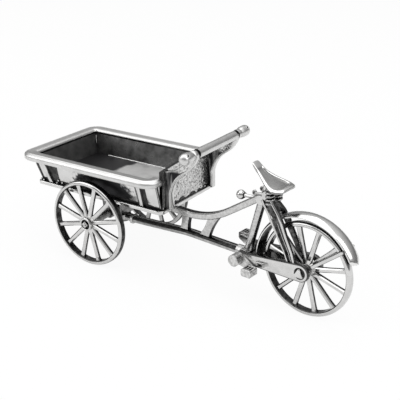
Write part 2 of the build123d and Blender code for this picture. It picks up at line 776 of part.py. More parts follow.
# Crank and pedals: one arm forward and up on the right, one back and down on the left
crank_solid = crank_axle
pedal_pair = None
for side, angle in ((-1, crank_angle), (1, crank_angle + 180)):
    tip_x = crank_x + crank_reach * cos(radians(angle))
    tip_z = crank_z + crank_reach * sin(radians(angle))
    arm_outline = link_outline(crank_x, crank_z, crank_boss_radius, tip_x, tip_z, crank_tip_radius)
    arm_low, arm_high = sorted((side * plate_outer, side * crank_axle_end))
    crank_solid = crank_solid + side_plate(arm_outline, arm_low, arm_high)
    boss_end = side * (crank_axle_end + crank_boss_stand_out)
    boss_low, boss_high = sorted((side * crank_axle_end, boss_end))
    crank_solid = crank_solid + y_cylinder(crank_x, crank_z, crank_boss_radius, boss_low, boss_high)
    low, high = sorted((side * crank_axle_end, side * (crank_axle_end + pedal_length)))
    block = side_plate(
        Pos(tip_x, tip_z) * RectangleRounded(pedal_width, pedal_height, pedal_height / 4), low, high
    )
    slot_pitch = pedal_width / (pedal_slot_count + 1)
    for index in range(pedal_slot_count):
        slot_x = tip_x - pedal_width / 2 + (index + 1) * slot_pitch
        for slot_z in (tip_z - pedal_height / 2, tip_z + pedal_height / 2):
            groove = Pos(slot_x, (low + high) / 2, slot_z) * Box(
                pedal_slot_width, pedal_length - pedal_slot_width * 2, pedal_slot_depth
            )
            block = block - groove
    pedal_pair = block if pedal_pair is None else pedal_pair + block
rear_solids["crank"] = crank_solid
rear_solids["pedals"] = pedal_pair

# Saddle: a leaf that is level at the back and turns up to the nose, dished on top
saddle_rear_x = cluster_x - saddle_rear_back
saddle_rear_z = cluster_z + saddle_rear_rise
saddle_nose_x = cluster_x + saddle_nose_ahead
saddle_nose_z = cluster_z + saddle_nose_rise
saddle_run = saddle_nose_x - saddle_rear_x
saddle_middle_x = (saddle_nose_x + saddle_rear_x) / 2
saddle_middle_z = (saddle_nose_z + saddle_rear_z) / 2 - saddle_sag


def saddle_arc(lift):
    return ThreePointArc(
        (saddle_rear_x, saddle_rear_z + lift),
        (saddle_middle_x, saddle_middle_z + lift),
        (saddle_nose_x, saddle_nose_z + lift),
    )


def saddle_layer(low, high):
    """The space between two lifts of the saddle's long curve."""
    outline = make_face(
        saddle_arc(low)
        + Line((saddle_nose_x, saddle_nose_z + low), (saddle_nose_x, saddle_nose_z + high))
        + saddle_arc(high)
        + Line((saddle_rear_x, saddle_rear_z + high), (saddle_rear_x, saddle_rear_z + low))
    )
    return side_plate(outline, -2 * saddle_half_width, 2 * saddle_half_width)


shoulder_x = saddle_rear_x + saddle_half_width / 2
waist_x = saddle_nose_x - saddle_run / 2
nose_x = saddle_nose_x - saddle_nose_half_width
saddle_plan = make_face(
    ThreePointArc(
        (shoulder_x, -saddle_half_width), (saddle_rear_x, 0), (shoulder_x, saddle_half_width)
    )
    + ThreePointArc(
        (shoulder_x, saddle_half_width), (waist_x, saddle_waist_half_width), (nose_x, saddle_nose_half_width)
    )
    + ThreePointArc((nose_x, saddle_nose_half_width), (saddle_nose_x, 0), (nose_x, -saddle_nose_half_width))
    + ThreePointArc(
        (nose_x, -saddle_nose_half_width),
        (waist_x, -saddle_waist_half_width),
        (shoulder_x, -saddle_half_width),
    )
)
saddle_plan = fillet(saddle_plan.vertices().sort_by(Axis.X)[:2], saddle_corner_radius)
saddle_depth = saddle_nose_z - saddle_rear_z + 2 * saddle_sag + saddle_thickness
saddle_floor = saddle_rear_z - saddle_sag - saddle_thickness
plan_prism = Pos(0, 0, saddle_floor) * extrude(saddle_plan, 2 * saddle_depth)
dish_prism = Pos(0, 0, saddle_floor) * extrude(offset(saddle_plan, -saddle_edge), 2 * saddle_depth)
saddle = saddle_layer(0, saddle_thickness) & plan_prism
dish = saddle_layer(saddle_thickness - saddle_dish_depth, 2 * saddle_thickness) & dish_prism
saddle = saddle - dish
rear_solids["saddle"] = saddle

tube_lean = (cluster_x - crank_x) / (cluster_z - crank_z)


def under_saddle(x):
    """Height of the saddle's underside at x."""
    mid = (saddle_middle_x, saddle_middle_z)
    rear = (saddle_rear_x, saddle_rear_z)
    nose = (saddle_nose_x, saddle_nose_z)
    chord = hypot(nose[0] - rear[0], nose[1] - rear[1])
    rise = abs((nose[0] - rear[0]) * (rear[1] - mid[1]) - (rear[0] - mid[0]) * (nose[1] - rear[1])) / chord
    radius = ((chord / 2) ** 2 + rise**2) / (2 * rise)
    lean = atan2(nose[1] - rear[1], nose[0] - rear[0])
    centre_x = (rear[0] + nose[0]) / 2 - (radius - rise) * sin(lean)
    centre_z = (rear[1] + nose[1]) / 2 + (radius - rise) * cos(lean)
    return centre_z - (radius**2 - (x - centre_x) ** 2) ** 0.5


clamp_x = cluster_x + tube_lean * clamp_drop - clamp_setback
clamp_z = under_saddle(clamp_x) - clamp_drop
clamp = y_cylinder(clamp_x, clamp_z, clamp_radius, -clamp_half_length, clamp_half_length)
post_top_x = cluster_x + tube_lean * 2 * clamp_drop
post = rod((cluster_x, 0, cluster_z), (post_top_x, 0, under_saddle(post_top_x) + saddle_thickness), post_radius)
post = post - cluster - saddle_layer(0, saddle_depth)
post = post.solids().sort_by(SortBy.VOLUME)[-1]
clamp = clamp - post

# Two coiled springs at the back and two rails with curled ends in front, all held by the clamp
spring_x = clamp_x - clamp_radius - spring_radius + spring_groove
spring_foot_z = under_saddle(spring_x) + saddle_thickness - spring_coil_count * spring_coil_height
coil_corners = [(0, 0)]
for index in range(spring_coil_count):
    coil_z = index * spring_coil_height
    coil_corners.append((spring_radius - spring_groove, coil_z))
    coil_corners.append((spring_radius, coil_z + spring_coil_height / 4))
    coil_corners.append((spring_radius, coil_z + spring_coil_height * 3 / 4))
coil_corners.append((spring_radius - spring_groove, spring_coil_count * spring_coil_height))
coil_corners.append((0, spring_coil_count * spring_coil_height))
coil_face = Plane.XZ * make_face(Polyline(*coil_corners, close=True))
spring = Pos(spring_x, spring_y, spring_foot_z) * revolve(coil_face, axis=Axis.Z)
spring = spring - saddle_layer(0, saddle_depth)
curl_x = clamp_x + rail_length
rail = rod((clamp_x, spring_y, clamp_z), (curl_x, spring_y, clamp_z), rail_radius)
rail = rail + y_cylinder(curl_x, clamp_z, rail_curl_radius, spring_y - rail_radius, spring_y + rail_radius)
spring = (spring + rail) - clamp
rear_solids["saddle_springs"] = spring + mirrored(spring)
rear_solids["saddle_post"] = post
rear_solids["saddle_clamp"] = clamp
rear_solids["seat_cluster"] = cluster

lever_ball_x = cluster_x + lever_ahead
lever_ball_z = cluster_z - lever_drop
lever = rod((lever_ball_x, 0, lever_ball_z), (cluster_x, 0, cluster_z), lever_radius)
lever = lever + Pos(lever_ball_x, 0, lever_ball_z) * Sphere(ball_radius)
lever = lever - cluster - backbone
rear_solids["top_lever"] = lever.solids().sort_by(SortBy.VOLUME)[-1]

# Turn the rear frame to its angle at rest and write every piece
steer = Rot(0, 0, steer_at_rest)
for name, solid in rear_solids.items():
    solids[name] = steer * solid
outline_box = Compound(children=[Compound(solid.solids()) for solid in solids.values()]).bounding_box()
shift_x = -(outline_box.min.X + outline_box.max.X) / 2
place = Pos(shift_x, 0, 0)
for name, solid in solids.items():
    export_step(Compound(children=[item for item in (place * solid).solids()]), f"parts/{name}.step")
print("kingpin at X", round(shift_x, 4), "overall", outline_box.size)
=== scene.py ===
from math import asin, atan2, cos, hypot, pi, radians, sin, sqrt

import bmesh
import bpy
from mathutils import Matrix, Vector, noise as mnoise


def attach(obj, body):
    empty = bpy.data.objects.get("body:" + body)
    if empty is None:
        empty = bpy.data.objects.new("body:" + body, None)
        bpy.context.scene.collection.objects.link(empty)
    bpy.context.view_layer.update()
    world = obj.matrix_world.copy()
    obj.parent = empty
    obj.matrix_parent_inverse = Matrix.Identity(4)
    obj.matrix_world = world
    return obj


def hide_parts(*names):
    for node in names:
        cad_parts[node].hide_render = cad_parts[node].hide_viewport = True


# A silver miniature of a box cargo tricycle on a plain pale floor.
# The scene is in metres, in the frame of the CAD part: the box points to +X and +Z is up.
# Forms are drawn in millimetres with the kingpin at X = 0 and the steering straight, and
# make() moves them to their places in the frame.

MM = 0.001
KINGPIN_X = 25.2217
STEER_AT_REST = radians(-6.3)
SHARP_ANGLE = radians(40.0)
THIN_WIRE = 0.13

# The photograph's view
VIEW_AZIMUTH = radians(213.43)
VIEW_ELEVATION = radians(22.45)
VIEW_ROLL = radians(-0.14)
VIEW_DISTANCE = 197.13 * MM
VIEW_TARGET = Vector((-0.947, 0.0, 19.43)) * MM
LENS = 67.35
SENSOR = 36.0

# Studio: each world tone with its height in the sky, each lamp with its place, size and watts
FLOOR_SIZE = 6.0
FLOOR_COLOUR = 0.82
FLOOR_GLOW = 0.93
MIRROR_GLOW = 0.35
WORLD_LOW = (0.05, 0.14)
WORLD_MIDDLE = (0.45, 0.4)
WORLD_HIGH = (0.85, 0.7)
LAMPS = {
    "overhead": ((0.05, 0.05, 0.6), (1.0, 0.8), 2.9),
    "left": ((0.5, 0.4, 0.35), (0.5, 0.45), 1.2),
    "rear": ((-0.5, 0.05, 0.4), (0.45, 0.4), 1.1),
}

# Silver: scales in features per metre, depths in millimetres
SILVER = (0.68, 0.678, 0.672)
# Black for patina in recesses and for painted shade and reflections
BLACK_PATINA_AND_SHADE = (0.012, 0.012, 0.014, 1.0)
BLACK = (0.0, 0.0, 0.0, 1.0)
RECESS_SAMPLES = 8
EDGE_SAMPLES = 4
CLOUD_RANGE = (0.32, 0.66)
WAVE_SCALE = 260.0
SCRATCH_SCALE = 1500.0
SCRATCH_STRETCH = (1.0, 9.0, 9.0)
SCRATCH_STRENGTH = 0.5
SCRATCH_DEPTH = 0.0012
GRAIN_SCALE = 2600.0

scene = bpy.context.scene
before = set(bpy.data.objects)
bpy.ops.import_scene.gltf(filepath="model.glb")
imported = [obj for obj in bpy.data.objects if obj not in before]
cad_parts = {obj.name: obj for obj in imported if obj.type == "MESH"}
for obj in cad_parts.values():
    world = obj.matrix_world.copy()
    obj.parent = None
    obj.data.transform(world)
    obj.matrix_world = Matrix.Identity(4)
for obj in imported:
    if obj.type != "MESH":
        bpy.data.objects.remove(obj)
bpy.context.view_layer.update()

CARRIAGE = Matrix.Translation(Vector((KINGPIN_X, 0.0, 0.0)) * MM)
REAR = CARRIAGE @ Matrix.Rotation(STEER_AT_REST, 4, "Z")
PLACES = {"rear_frame": REAR, "rear_wheel": REAR}
REAR_SIDEWAYS = (-sin(STEER_AT_REST), cos(STEER_AT_REST), 0.0)


def new_material(name):
    material = bpy.data.materials.new(name)
    material.use_nodes = True
    material.node_tree.nodes.clear()
    return material, material.node_tree


def fill(tree, node, inputs):
    """Link a node's inputs to sockets or give them values."""
    for name, value in inputs.items():
        if isinstance(value, bpy.types.NodeSocket):
            tree.links.new(value, node.inputs[name])
        else:
            node.inputs[name].default_value = value
    return node


def new_node(tree, kind, inputs):
    return fill(tree, tree.nodes.new("ShaderNode" + kind), inputs)


def calculate(tree, operation, *values):
    """The result of an operation on sockets and numbers."""
    node = new_node(tree, "Math", dict(enumerate(values)))
    node.operation = operation
    return node.outputs["Value"]


def on_vectors(tree, operation, result, *values):
    """One result of an operation on vectors, which are sockets or constants."""
    node = new_node(tree, "VectorMath", dict(enumerate(values)))
    node.operation = operation
    return node.outputs[result]


def height_of(tree, vector):
    return new_node(tree, "SeparateXYZ", {"Vector": vector}).outputs["Z"]


def noise(tree, point, scale, detail=3.0, stretch=None):
    """A noise pattern at a point, with the given number of features per metre."""
    if stretch:
        mapping = new_node(tree, "Mapping", {"Vector": point, "Scale": stretch})
        point = mapping.outputs["Vector"]
    pattern = new_node(tree, "TexNoise", {"Vector": point, "Scale": scale, "Detail": detail})
    return pattern.outputs["Fac"]


def spread(tree, value, low, high, to_low=0.0, to_high=1.0):
    """Map a value from one range to another, clamped."""
    inputs = {"Value": value, "From Min": low, "From Max": high, "To Min": to_low, "To Max": to_high}
    return new_node(tree, "MapRange", inputs).outputs["Result"]


def blend(tree, share, dark, light):
    """A colour between a dark one and a light one, which may be a socket."""
    node = tree.nodes.new("ShaderNodeMix")
    node.data_type = "RGBA"
    return fill(tree, node, {"Factor": share, "A": dark, "B": light}).outputs["Result"]


def facing(tree, direction, low, high, two_sided=True):
    """One where the surface faces along a direction of the piece, falling to zero away from it."""
    normal = tree.nodes.new("ShaderNodeTexCoord").outputs["Normal"]
    value = on_vectors(tree, "DOT_PRODUCT", "Value", normal, direction)
    if two_sided:
        value = calculate(tree, "ABSOLUTE", value)
    return spread(tree, value, low, high)


def height_share(tree, point, low, high, wobble, scale):
    """Zero to one between two heights in millimetres, with a ragged border."""
    rough = noise(tree, point, scale)
    height = calculate(tree, "MULTIPLY_ADD", rough, 2 * wobble * MM, height_of(tree, point))
    return spread(tree, height, low * MM, high * MM)


def ball_share(tree, point, centre, radii, soft, wobble, scale):
    """One inside an ellipsoid given in millimetres, zero outside, with a ragged border."""
    offset = on_vectors(tree, "SUBTRACT", "Vector", point, [part * MM for part in centre])
    ratio = on_vectors(tree, "DIVIDE", "Vector", offset, [part * MM for part in radii])
    length = on_vectors(tree, "LENGTH", "Value", ratio)
    reach = calculate(tree, "MULTIPLY_ADD", noise(tree, point, scale), 2 * wobble, length)
    return spread(tree, reach, 1 + wobble + soft, 1 + wobble - soft)


def silver(name, polish=0.12, recess_reach=1.0, recess_from=0.28, recess_to=0.72, wave=0.03, tone=1.0,
           face=None, zone=None, cloud=(0.86, 420.0), grain=0.0, round_edges=0.0, dull=0.42):
    """Polished silver, black with age in its recesses; the face and zone masks darken it by the way a surface
    faces and where it lies, mostly as painted shade and painted reflections.
    """
    material, tree = new_material(name)
    point = tree.nodes.new("ShaderNodeTexCoord").outputs["Object"]
    hollow = new_node(tree, "AmbientOcclusion", {"Distance": recess_reach * MM})
    hollow.samples = RECESS_SAMPLES
    open_and_lit_share = spread(tree, hollow.outputs["AO"], recess_from, recess_to)
    # Painted shade and reflections: the facing and zone masks darken the colour towards black
    if face:
        open_and_lit_share = calculate(tree, "MULTIPLY", open_and_lit_share, facing(tree, *face))
    if zone:
        open_and_lit_share = calculate(tree, "MULTIPLY", open_and_lit_share, zone(tree, point))
    least, scale = cloud
    clouds = spread(tree, noise(tree, point, scale, 4.0), *CLOUD_RANGE, least, 1.0)
    brightness = calculate(tree, "MULTIPLY", open_and_lit_share, clouds)
    tinted = blend(tree, clouds, BLACK, (*[tone * part for part in SILVER], 1.0))

    normal = None
    if round_edges:
        edges = new_node(tree, "Bevel", {"Radius": round_edges * MM})
        edges.samples = EDGE_SAMPLES
        normal = edges.outputs["Normal"]
    layers = [
        (noise(tree, point, WAVE_SCALE, 2.0), 1.0, wave),
        (noise(tree, point, SCRATCH_SCALE, 4.0, SCRATCH_STRETCH), SCRATCH_STRENGTH, SCRATCH_DEPTH),
    ]
    if grain:
        layers.append((noise(tree, point, GRAIN_SCALE, 2.0), 1.0, grain))
    for height, strength, depth in layers:
        inputs = {"Height": height, "Strength": strength, "Distance": depth * MM}
        if normal is not None:
            inputs["Normal"] = normal
        normal = new_node(tree, "Bump", inputs).outputs["Normal"]
    shader = new_node(tree, "BsdfPrincipled", {
        "Metallic": 1.0,
        "Base Color": blend(tree, open_and_lit_share, BLACK_PATINA_AND_SHADE, tinted),
        "Roughness": spread(tree, brightness, 0.0, 1.0, dull, polish),
        "Normal": normal,
    })
    new_node(tree, "OutputMaterial", {"Surface": shader.outputs["BSDF"]})
    return material


def add_object(name, data):
    made = bpy.data.objects.new(name, data)
    scene.collection.objects.link(made)
    return made


def add_camera():
    level = cos(VIEW_ELEVATION)
    back = Vector((sin(VIEW_AZIMUTH) * level, -cos(VIEW_AZIMUTH) * level, sin(VIEW_ELEVATION)))
    data = bpy.data.cameras.new("camera")
    data.lens = LENS
    data.sensor_width = SENSOR
    data.clip_start = MM
    data.clip_end = 2 * FLOOR_SIZE
    camera = add_object("camera", data)
    turn = (-back).to_track_quat("-Z", "Y").to_matrix().to_4x4()
    roll = Matrix.Rotation(VIEW_ROLL, 4, "Z")
    camera.matrix_world = Matrix.Translation(VIEW_TARGET + VIEW_DISTANCE * back) @ turn @ roll
    scene.camera = camera


def seen_rays(tree, camera_share, mirror_share):
    """The share of white glow for rays from the camera and for rays that metal mirrors."""
    path = tree.nodes.new("ShaderNodeLightPath")
    most = calculate(tree, "MULTIPLY", path.outputs["Is Camera Ray"], camera_share)
    for name in ("Is Glossy Ray", "Is Transmission Ray"):
        mirrored = calculate(tree, "MULTIPLY", path.outputs[name], mirror_share)
        most = calculate(tree, "MAXIMUM", most, mirrored)
    return most


def add_floor():
    half = FLOOR_SIZE / 2
    mesh = bpy.data.meshes.new("floor")
    corners = [(-half, -half, 0), (half, -half, 0), (half, half, 0), (-half, half, 0)]
    mesh.from_pydata(corners, [], [(0, 1, 2, 3)])
    floor = add_object("floor", mesh)
    material, tree = new_material("floor")
    diffuse = new_node(tree, "BsdfDiffuse", {"Color": (FLOOR_COLOUR, FLOOR_COLOUR, FLOOR_COLOUR, 1.0)})
    glow = new_node(tree, "Emission", {"Strength": 1.0})
    share = seen_rays(tree, FLOOR_GLOW, MIRROR_GLOW)
    mix = new_node(tree, "MixShader", {0: share, 1: diffuse.outputs["BSDF"], 2: glow.outputs["Emission"]})
    new_node(tree, "OutputMaterial", {"Surface": mix.outputs["Shader"]})
    floor.data.materials.append(material)


def add_world():
    """A room that is bright overhead and darker towards the horizon."""
    world = bpy.data.worlds.new("studio")
    scene.world = world
    world.use_nodes = True
    tree = world.node_tree
    tree.nodes.clear()
    direction = tree.nodes.new("ShaderNodeTexCoord").outputs["Generated"]
    ramp = new_node(tree, "ValToRGB", {"Fac": height_of(tree, direction)})
    stops = ramp.color_ramp.elements
    stops[0].position = WORLD_LOW[0]
    stops[1].position = WORLD_HIGH[0]
    stops.new(WORLD_MIDDLE[0])
    for stop, (_, tone) in zip(stops, (WORLD_LOW, WORLD_MIDDLE, WORLD_HIGH)):
        stop.color = (tone, tone, tone, 1.0)
    background = new_node(tree, "Background", {"Color": ramp.outputs["Color"]})
    new_node(tree, "OutputWorld", {"Surface": background.outputs["Background"]})


def add_lamp(name, place, size, power):
    data = bpy.data.lights.new(name, "AREA")
    data.shape = "RECTANGLE"
    data.size, data.size_y = size
    data.energy = power
    lamp = add_object(name, data)
    lamp.location = place
    lamp.rotation_euler = (VIEW_TARGET - Vector(place)).to_track_quat("-Z", "Y").to_euler()


def circle(count, points=None):
    """The cosine and sine of even steps round a circle; one point more than count closes it."""
    angles = [2 * pi * step / count for step in range(points or count)]
    return [(cos(angle), sin(angle)) for angle in angles]


class Form:
    """Points in millimetres and the faces between them, each with the number of its material."""

    def __init__(self):
        self.points = []
        self.faces = []
        self.kinds = []

    def add(self, points, faces, kinds):
        first = len(self.points)
        self.points += [tuple(point) for point in points]
        self.faces += [tuple(first + index for index in face) for face in faces]
        self.kinds += kinds

    def skin(self, rings, kinds=0, loop=False, caps=(0, 0), step_kinds=None):
        """Join rings of points; kinds is one number or one a side of the ring, step_kinds one a step."""
        size = len(rings[0])
        if isinstance(kinds, int):
            kinds = [kinds] * size
        points = [point for ring in rings for point in ring]
        faces, face_kinds = [], []
        for step in range(len(rings) if loop else len(rings) - 1):
            low = step * size
            high = (step + 1) % len(rings) * size
            for side in range(size):
                after = (side + 1) % size
                faces.append((low + side, low + after, high + after, high + side))
                face_kinds.append(step_kinds[step] if step_kinds else kinds[side])
        if not loop:
            for cap, start in zip(caps, (0, (len(rings) - 1) * size)):
                if cap is not None:
                    faces.append(tuple(range(start, start + size)))
                    face_kinds.append(cap)
        self.add(points, faces, face_kinds)

    def turned(self, profile, kinds, count, centre):
        """Turn a closed profile of (radius, y) about the line along Y through the centre."""
        x, y, z = centre
        rings = []
        for c, s in circle(count):
            rings.append([(x + radius * c, y + out, z + radius * s) for radius, out in profile])
        self.skin(rings, kinds, loop=True)

    def tube(self, line, radius, kind=0, sides=10):
        """A round wire along a line of points; the radius is one number or one for each point."""
        line = [Vector(point) for point in line]
        radii = radius if isinstance(radius, (list, tuple)) else [radius] * len(line)
        side_way = (line[1] - line[0]).normalized().orthogonal().normalized()
        rings = []
        for index, point in enumerate(line):
            before, after = line[max(index - 1, 0)], line[min(index + 1, len(line) - 1)]
            along = (after - before).normalized()
            side_way = (side_way - along * side_way.dot(along)).normalized()
            up = along.cross(side_way)
            rings.append([point + radii[index] * (c * side_way + s * up) for c, s in circle(sides)])
        self.skin(rings, kind, caps=(kind, kind))

    def slab(self, outline, side, inner, outer, edge, edge_kind=0, face_kinds=(0, 0)):
        """Thicken an outline of (x, z) on one side of the middle; face_kinds are inner and outer."""
        low, high = sorted((side * inner, side * outer))
        steps = edge_steps(edge, low, 1) + edge_steps(edge, high, -1)[::-1]
        rings = [[(x, y, z) for x, z in inwards(outline, inset)] for inset, y in steps]
        self.skin(rings, edge_kind, caps=face_kinds[::side])

    def ball(self, centre, radius, sides):
        """A ball of level rings, with a tiny cap at each pole."""
        x, y, z = centre
        rings = []
        for index in range(sides // 2 + 1):
            angle = pi * index / (sides // 2)
            size = max(radius * sin(angle), radius / 50)
            height = z - radius * cos(angle)
            rings.append([(x + size * c, y + size * s, height) for c, s in circle(sides)])
        self.skin(rings)


def edge_steps(edge, y, way):
    """Insets and Y values that round off an edge in three steps."""
    angles = (0.0, pi / 4, pi / 2)
    return [(edge * (1 - sin(angle)), y + way * edge * (1 - cos(angle))) for angle in angles]


def inwards(outline, inset):
    """Move an outline's points inwards by the same distance from both neighbouring sides."""
    corners = [Vector(point) for point in outline]
    following = corners[1:] + corners[:1]
    area = sum(here.x * after.y - after.x * here.y for here, after in zip(corners, following))
    way = 1 if area > 0 else -1
    moved = []
    for before, here, after in zip(corners[-1:] + corners[:-1], corners, following):
        first = (here - before).normalized()
        second = (after - here).normalized()
        normal = Vector((-(first.y + second.y), first.x + second.x)) * way
        if normal.length < 1e-6:
            normal = Vector((-first.y, first.x)) * way
        normal.normalize()
        lean = max(abs(normal.dot(Vector((-first.y, first.x)))), 0.5)
        moved.append(tuple(here + normal * inset / lean))
    return moved


def around(x, y, radius, angle):
    """The point at an angle on a circle about a centre in a plane."""
    return x + radius * cos(angle), y + radius * sin(angle)


def circle_through(first, middle, last):
    """Centre and radius of the circle through three points in a plane."""
    (ax, ay), (bx, by), (cx, cy) = first, middle, last
    a, b, c = ax * ax + ay * ay, bx * bx + by * by, cx * cx + cy * cy
    double_area = 2 * (ax * (by - cy) + bx * (cy - ay) + cx * (ay - by))
    x = (a * (by - cy) + b * (cy - ay) + c * (ay - by)) / double_area
    y = (a * (cx - bx) + b * (ax - cx) + c * (bx - ax)) / double_area
    return x, y, hypot(ax - x, ay - y)


def arc(first, middle, last, count):
    """Points on the arc through three points in a plane, without the last one."""
    x, y, radius = circle_through(first, middle, last)
    start, through, end = [atan2(v - y, u - x) for u, v in (first, middle, last)]
    full = 2 * pi
    span = (end - start) % full
    if (through - start) % full > span:
        span -= full
    return [around(x, y, radius, start + span * step / count) for step in range(count)]


def bulged(first, last, amount):
    """The middle between two points, moved by the same amount along both axes."""
    return (first[0] + last[0]) / 2 + amount, (first[1] + last[1]) / 2 + amount


def both_ways(half):
    """Half a section and its mirror image in the second coordinate."""
    return [*half, *[(first, -second) for first, second in reversed(half)]]


def grid_faces(columns, rows):
    """The row, the column and the corners of each square of a grid of points."""
    width = columns + 1
    for row in range(rows):
        for column in range(columns):
            low = row * width + column
            yield row, column, (low, low + 1, low + width + 1, low + width)


def grid_border(columns, rows):
    """The points round a grid: along its first row, up, back along its last row and down."""
    width = columns + 1
    border = list(range(width))
    border += [row * width + columns for row in range(1, rows + 1)]
    border += [rows * width + column for column in range(columns - 1, -1, -1)]
    return border + [row * width for row in range(rows - 1, 0, -1)]


def make(name, body, form, materials, stands_for=()):
    """Turn a form into a piece that rides on its body and stands for its nodes."""
    mesh = bpy.data.meshes.new(name)
    mesh.from_pydata([Vector(point) * MM for point in form.points], [], form.faces)
    mesh.transform(PLACES.get(body, CARRIAGE))
    for material in materials:
        mesh.materials.append(material)
    mesh.polygons.foreach_set("material_index", form.kinds)
    work = bmesh.new()
    work.from_mesh(mesh)
    bmesh.ops.recalc_face_normals(work, faces=work.faces)
    work.to_mesh(mesh)
    work.free()
    mesh.shade_smooth()
    mesh.set_sharp_from_angle(angle=SHARP_ANGLE)
    piece = add_object(name, mesh)
    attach(piece, body)
    if stands_for:
        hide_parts(*stands_for)


# Wheels: the hub's section is radius and depth below its end, a spoke's sizes are radius and width
WHEEL_RADIUS = 12.0
TYRE_INNER = 10.85
TYRE_HALF = 1.05
TYRE_ROUND = 0.7
TYRE_CHAMFER = 0.18
TYRE_STEPS = 5
TYRE_SEGMENTS = 120
HUB_SEGMENTS = 40
HUB_RECESS = 0.5
HUB_SECTION = (
    (0.7, HUB_RECESS), (1.35, HUB_RECESS), (1.38, 0.08), (1.46, 0.0),
    (1.74, 0.0), (1.85, 0.12), (1.85, 0.55), (1.55, 0.95),
)
FRONT_HUB_HALF = 1.6
REAR_HUB_HALF = 2.0
SPOKES = 12
SPOKE_HALF_DEPTH = 0.575
SPOKE_CUT = 0.24
SPOKE_SIZES = ((1.2, 1.3), (2.2, 1.26), (3.4, 1.16), (6.5, 1.1), (9.6, 1.14), (10.4, 1.24), (10.95, 1.5))
FRONT_Y = 14.75
AXLE_Z = 12.0
REAR_X = -61.3


def tyre_profile(tread_kind):
    """The tyre's section, dark inside, and the kind of its tread."""
    half = [(TYRE_INNER, TYRE_HALF - TYRE_CHAMFER), (TYRE_INNER + TYRE_CHAMFER, TYRE_HALF)]
    for step in range(TYRE_STEPS + 1):
        angle = pi / 2 * step / TYRE_STEPS
        radius = WHEEL_RADIUS - TYRE_ROUND + TYRE_ROUND * sin(angle)
        half.append((radius, TYRE_HALF - TYRE_ROUND + TYRE_ROUND * cos(angle)))
    return both_ways(half), [1] + [0] * 4 + [tread_kind] * 5 + [0] * 4 + [1, 1]


def hub_profile(half):
    """The hub's section, dark in the recesses of its ends and inside."""
    section = [(radius, half - depth) for radius, depth in HUB_SECTION]
    return both_ways(section), [1, 1] + [0] * 11 + [1, 1, 1]


def wheel(body, centre, hub_half, tread_kind):
    """A tyre, a hub and tapered spokes with cut corners and dark sides."""
    form = Form()
    form.turned(*tyre_profile(tread_kind), TYRE_SEGMENTS, centre)
    form.turned(*hub_profile(hub_half), HUB_SEGMENTS, centre)
    x, y, z = centre
    depth, cut = SPOKE_HALF_DEPTH, SPOKE_CUT
    for index in range(SPOKES):
        angle = 2 * pi * (index + 0.5) / SPOKES
        c, s = cos(angle), sin(angle)
        rings = []
        for radius, width in SPOKE_SIZES:
            half = width / 2
            flat, low = half - cut, depth - cut
            corners = both_ways(((half, low), (flat, depth), (-flat, depth), (-half, low)))
            rings.append([(x + radius * s + u * c, y + v, z + radius * c - u * s) for u, v in corners])
        form.skin(rings, [0, 0, 0, 1, 0, 0, 0, 1])
    place = body.removesuffix("_wheel")
    make(body + "_cast", body, form, (wheel_silver, wheel_dark_and_reflection), (place + "_tyre", place + "_spokes"))


# Tray: raised forms are steps of inset and lift; the rim's section is out from its middle and up
BASE_TOP = 19.6
RIM_TOP = 28.2
WALL_HEAD = 26.8
WALL_FOOT_Y = 11.6
WALL_FOOT_X = 19.1
FLARE = 1.7
RIM_HALF = 1.85
RIM_OVERLAP = 0.9
RIM_BEND = 2.4
RIM_BEND_STEPS = 12
RIM_SECTION = (
    (1.6, -1.9), (1.82, -1.62), (1.85, -1.2), (1.82, -0.82), (1.7, -0.54), (1.48, -0.34), (1.18, -0.2),
    (0.9, -0.12), (0.8, -0.05), (0.7, -0.02), (0.58, -0.05), (0.45, -0.08), (0.0, -0.09), (-0.6, -0.12),
    (-1.2, -0.2), (-1.55, -0.33), (-1.76, -0.55), (-1.85, -0.9), (-1.82, -1.5), (-1.55, -1.88),
)
PANEL_BACKING = [(-22.3, 19.65), (18.9, 19.65), (20.4, 26.6), (-22.3, 26.6)]
PANELS = (
    [(12.4, 20.5), (12.2, 26.4), (-14.9, 26.4), (-15.2, 20.3)],
    [(-18.2, 20.2), (-17.9, 26.4), (-21.9, 26.4), (-22.1, 20.2)],
    [(18.2, 20.6), (19.4, 26.4), (17.9, 26.4), (16.7, 20.6)],
)
PANEL_STEPS = ((0.0, -0.1), (0.0, 0.12), (0.08, 0.22), (0.25, 0.27))
RIB_FRONT_EDGE = [(16.1, BASE_TOP), (18.4, WALL_HEAD)]
RIB_UPPER_ARC = ((17.0, WALL_HEAD), (16.3, 25.2), (15.75, 23.4))
RIB_LOWER_ARC = ((15.75, 23.4), (15.45, 21.6), (14.7, BASE_TOP))
STRAIGHT_RIB = [(-16.7, BASE_TOP), (-15.5, BASE_TOP), (-15.4, WALL_HEAD), (-16.6, WALL_HEAD)]
RIB_STEPS = ((0.0, -0.1), (0.0, 0.45), (0.06, 0.62), (0.2, 0.74), (0.4, 0.78))


